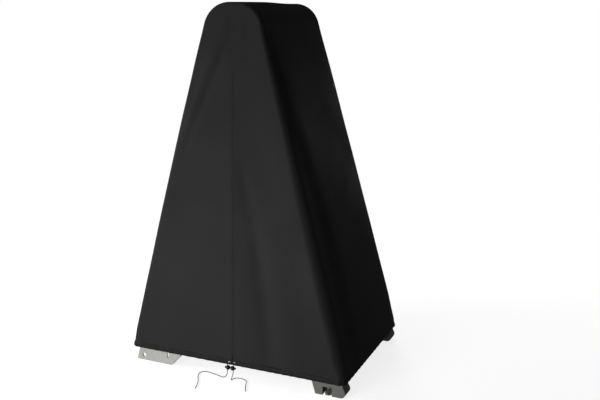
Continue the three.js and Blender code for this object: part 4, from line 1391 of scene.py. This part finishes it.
class AddPlatform(bpy.types.Operator):
    """Adds the platform's deck and its ribbed mat"""

    bl_idname = "pool_ladder.add_platform"
    bl_label = "Platform"

    def execute(self, context):
        refined("platform_deck", "white resin", 0.0025, "platform_tray", segments=3)
        low, high = (Vector(c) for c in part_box("platform_mat"))
        bm = bmesh.new()
        rounded_box(bm, low, (high.x, high.y, high.z - 0.0012), 0.0006, 1)
        pitch = context.scene.ladder_sizes.mat_rib_pitch
        count = int((high.x - low.x - 0.016) / pitch)
        start = (low.x + high.x - (count - 1) * pitch) / 2
        for k in range(count):
            x = start + k * pitch
            half = pitch * 0.27
            near = (x - half, low.y + 0.008, high.z - 0.0016)
            far = (x + half, high.y - 0.008, high.z)
            rounded_box(bm, near, far, 0.0005, 1)
        mat = add_piece("platform_grip_mat", bm, "ladder_frame", ["mat rubber"], crisp=30)
        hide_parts("platform_mat")
        return {"FINISHED"}


class AddTubes(bpy.types.Operator):
    """Adds the bent handrails, the inner ladder's rails and its support bar"""

    bl_idname = "pool_ladder.add_tubes"
    bl_label = "Tubes"

    def execute(self, context):
        for name, towards in FACES:
            bend = SHOULDER - TUBE_INSET
            points = [on_rail(-rail_x(1.132), up_face(1.132), towards)]
            for x, start, end in (
                (-SHOULDER_X, math.pi - SIDE_LEAN, math.pi / 2),
                (SHOULDER_X, math.pi / 2, SIDE_LEAN),
            ):
                for k in range(17):
                    turn = start + (end - start) * k / 16
                    up = up_face(SHOULDER_Z) + bend * math.sin(turn)
                    points.append(on_rail(x + bend * math.cos(turn), up, towards))
            points.append(on_rail(rail_x(HANDRAIL_END), up_face(HANDRAIL_END), towards))
            rail = self.add_tube(f"handrail_tube_{name}", points, "ladder_frame")
            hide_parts(f"handrail_{name}")
            line = [on_rail(rail_x(z), up_face(z), towards) for z in (0.042, RAIL_END)]
            rail = self.add_tube(f"inner_rail_tube_{name}", line, "inner_ladder")
            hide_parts(f"inner_rail_{name}")
        low, high = (Vector(c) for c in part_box("platform_support_bar"))
        middle = (low + high) / 2
        bar = tube_piece(
            "support_bar",
            [(middle.x, low.y, middle.z), (middle.x, high.y, middle.z)],
            (high.z - low.z) / 2,
            "inner_ladder",
            "satin aluminium",
            24,
        )
        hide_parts("platform_support_bar")
        self.add_plugs()
        return {"FINISHED"}

    def add_tube(self, name, points, body):
        finish = "satin aluminium"
        return tube_piece(name, points, TUBE_RADIUS, body, finish, 32, (0, 1, 0))

    def add_plugs(self):
        """Plastic plugs in the tubes' open ends."""
        for name, body, z, along in (
            ("handrail_plugs", "ladder_frame", HANDRAIL_END, -1),
            ("inner_rail_plugs", "inner_ladder", RAIL_END, 1),
        ):
            bm = bmesh.new()
            for _, towards in FACES:
                end = on_rail(rail_x(z), up_face(z), towards)
                line = on_rail(rail_x(z + 0.1), up_face(z + 0.1), towards) - end
                rows = [(0.0, 0.0), (0.0158, 0.0), (0.0158, 0.0010), (0.0145, 0.0022), (0.0, 0.0026)]
                spun(bm, rows, facing(end, line * along), steps=28)
            add_piece(name, bm, body, ["plug plastic"])


class AddHardware(bpy.types.Operator):
    """Adds the hinge brackets and pins, the shoes, the levelling feet and the inner treads' bolts"""

    bl_idname = "pool_ladder.add_hardware"
    bl_label = "Hinges, shoes and feet"

    def execute(self, context):
        bm = bmesh.new()
        for name, towards in FACES:
            refined(f"hinge_bracket_{name}", "plated steel", 0.0010, f"hinge_plate_{name}")
            refined(f"hinge_pin_{name}", "plated steel", 0.0007, f"hinge_bolt_{name}")
            refined(f"inner_shoe_{name}", "shoe resin", 0.0030, f"shoe_{name}", segments=3)
            refined(f"levelling_foot_{name}", "plated steel", 0.0010, f"levelling_screw_{name}")
            for i in (1, 2, 3, 4):
                low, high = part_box(f"inner_step_{i}")
                z = (low[2] + high[2]) / 2
                place = on_rail(rail_x(z), up_face(z), towards, TUBE_INSET - TUBE_RADIUS + 0.0004)
                bolt(bm, place, (0, towards, FACE_SLOPE), 0.0060, 0.0030)
        add_piece("inner_bolts", bm, "inner_ladder", ["plated steel"], crisp=30)
        return {"FINISHED"}


# ---- Stage ----


class AddStage(bpy.types.Operator):
    """Adds the floor, the soft studio light and the camera"""

    bl_idname = "pool_ladder.add_stage"
    bl_label = "Floor, light and camera"

    def execute(self, context):
        scene = context.scene
        scene.view_settings.view_transform = "Standard"
        camera = bpy.data.cameras.new("Camera")
        camera.lens = 48.26
        camera.sensor_width = 36
        camera.clip_end = 200
        eye = bpy.data.objects.new("Camera", camera)
        eye.location = (1.878, -3.879, 1.912)
        eye.rotation_euler = (math.radians(90 - 13.59), 0, math.radians(23.42))
        scene.collection.objects.link(eye)
        scene.camera = eye
        self.add_floor(scene)
        self.add_world(scene)
        for name, place, aim, sizes, power in (
            ("Low light", (-0.35, -2.0, 0.2), (0, 0, 0.5), (1.8, 0.36), 10.5),
            ("Front light", (-1.2, -5.0, 1.2), (0, 0, 0.9), (2.2, 1.2), 55),
            ("Left light", (-4.2, -1.7, 1.1), (0, 0, 0.9), (1.5, 1.2), 70),
            ("Back light", (1.3, 3.2, 1.25), (0.3, 0, 0.9), (1.0, 1.0), 3.6),
            ("Rear light", (-1.6, 4.8, 1.3), (0, 0, 0.8), (2.0, 1.4), 75),
            ("Right light", (5.2, 0.5, 0.9), (0, 0, 0.8), (1.4, 1.2), 7),
            ("Top light", (-0.8, -0.6, 6.0), (0, 0, 0), (4.0, 4.0), 15),
        ):
            light = bpy.data.lights.new(name, "AREA")
            light.shape = "RECTANGLE"
            light.size, light.size_y = sizes
            light.energy = power
            lamp = bpy.data.objects.new(name, light)
            lamp.matrix_world = facing(place, Vector(place) - Vector(aim))
            scene.collection.objects.link(lamp)
        return {"FINISHED"}

    def add_floor(self, scene):
        bm = bmesh.new()
        bmesh.ops.create_circle(bm, cap_ends=True, segments=96, radius=3.4)
        mesh = bpy.data.meshes.new("floor")
        bm.to_mesh(mesh)
        bm.free()
        floor = bpy.data.objects.new("floor", mesh)
        scene.collection.objects.link(floor)
        made, tree, shader = new_finish("pale floor", Roughness=0.9, Specular_IOR_Level=0.0)
        seen = add_node(tree, "ShaderNodeLightPath").outputs["Is Camera Ray"]
        for socket, hidden, shown in (("Base Color", 0.12, 0.97), ("Emission Color", 0.03, 0.8)):
            tone = two_tone(tree, seen, [hidden] * 3, [shown] * 3)
            tree.links.new(tone, shader.inputs[socket])
        shader.inputs["Emission Strength"].default_value = 1.0
        place = add_node(tree, "ShaderNodeTexCoord").outputs["Object"]
        away = add_node(tree, "ShaderNodeVectorMath", {0: place}, operation="LENGTH").outputs["Value"]
        fade = add_node(
            tree,
            "ShaderNodeMapRange",
            {"Value": away, "From Min": 1.5, "From Max": 3.2, "To Min": 1.0, "To Max": 0.0},
            interpolation_type="SMOOTHSTEP",
        ).outputs[0]
        tree.links.new(fade, shader.inputs["Alpha"])
        mesh.materials.append(made)

    def add_world(self, scene):
        """White behind the object, and softer light of its own round it."""
        world = bpy.data.worlds.new("Studio")
        world.use_nodes = True
        scene.world = world
        tree = world.node_tree
        back = tree.nodes["Background"]
        seen = add_node(tree, "ShaderNodeLightPath").outputs["Is Camera Ray"]
        tree.links.new(two_tone(tree, seen, (0.02, 0.02, 0.02), (1, 1, 1)), back.inputs["Color"])


# ---- Settings, panel and registration ----


class CoverSettings(bpy.types.PropertyGroup):
    """How softly the cover hangs"""

    corner_softness: bpy.props.FloatProperty(
        name="Corner softness", description="How round the cloth's corners are", default=1.0, min=0.3, max=1.1
    )
    fold_depth: bpy.props.FloatProperty(
        name="Fold depth", description="How deep the cloth's folds are", default=1.0, min=0.0, max=1.2
    )


class LadderSizes(bpy.types.PropertyGroup):
    """Details of the ladder's treads and platform"""

    tread_grips: bpy.props.IntProperty(
        name="Tread grips", description="Raised lines along each tread", default=7, min=3, max=9
    )
    mat_rib_pitch: bpy.props.FloatProperty(
        name="Mat rib pitch",
        description="Distance from one rib of the platform's mat to the next",
        default=0.0125,
        min=0.008,
        max=0.03,
        subtype="DISTANCE",
        unit="LENGTH",
    )


def colour_property(name, description, default):
    return bpy.props.FloatVectorProperty(
        name=name, description=description, default=default, size=3, min=0.0, max=1.0, subtype="COLOR"
    )


class LadderColours(bpy.types.PropertyGroup):
    """Colours of the cloth and the mouldings"""

    cover: colour_property("Cover", "The cover's cloth", (0.0225, 0.0225, 0.0230))
    lining: colour_property("Lining", "The coated inside of the cover's cloth", (0.50, 0.51, 0.52))
    side_panels: colour_property("Side panels", "The outer ladder's side panels", (0.63, 0.63, 0.605))
    deck: colour_property("Deck", "The platform and the inner treads", (0.76, 0.75, 0.71))
    treads: colour_property("Treads", "The outer treads", (0.20, 0.20, 0.185))
    shoes: colour_property("Shoes", "The inner ladder's shoes", (0.245, 0.245, 0.228))


STEPS = (
    AddStage,
    AddCords,
    AddFront,
    AddBack,
    AddEnds,
    AddHem,
    AddZip,
    AddSidePanels,
    AddTreads,
    AddPlatform,
    AddTubes,
    AddHardware,
)


class VIEW3D_PT_pool_ladder(bpy.types.Panel):
    """Settings and steps of the covered pool ladder"""

    bl_label = "Pool ladder"
    bl_space_type = "VIEW_3D"
    bl_region_type = "UI"
    bl_category = "Pool ladder"

    def draw(self, context):
        scene = context.scene
        for settings in (scene.ladder_cover, scene.ladder_sizes, scene.ladder_colours):
            box = self.layout.box()
            for name in settings.__annotations__:
                box.prop(settings, name)
        for step in STEPS:
            self.layout.operator(step.bl_idname)


CLASSES = (CoverSettings, LadderSizes, LadderColours, *STEPS, VIEW3D_PT_pool_ladder)


def register():
    for made in CLASSES:
        bpy.utils.register_class(made)
    bpy.types.Scene.ladder_cover = bpy.props.PointerProperty(type=CoverSettings)
    bpy.types.Scene.ladder_sizes = bpy.props.PointerProperty(type=LadderSizes)
    bpy.types.Scene.ladder_colours = bpy.props.PointerProperty(type=LadderColours)


def unregister():
    for name in ("ladder_cover", "ladder_sizes", "ladder_colours"):
        delattr(bpy.types.Scene, name)
    for made in reversed(CLASSES):
        bpy.utils.unregister_class(made)


def main():
    register()
    for step in STEPS:
        group, name = step.bl_idname.split(".")
        getattr(getattr(bpy.ops, group), name)()


if __name__ == "__main__":
    main()
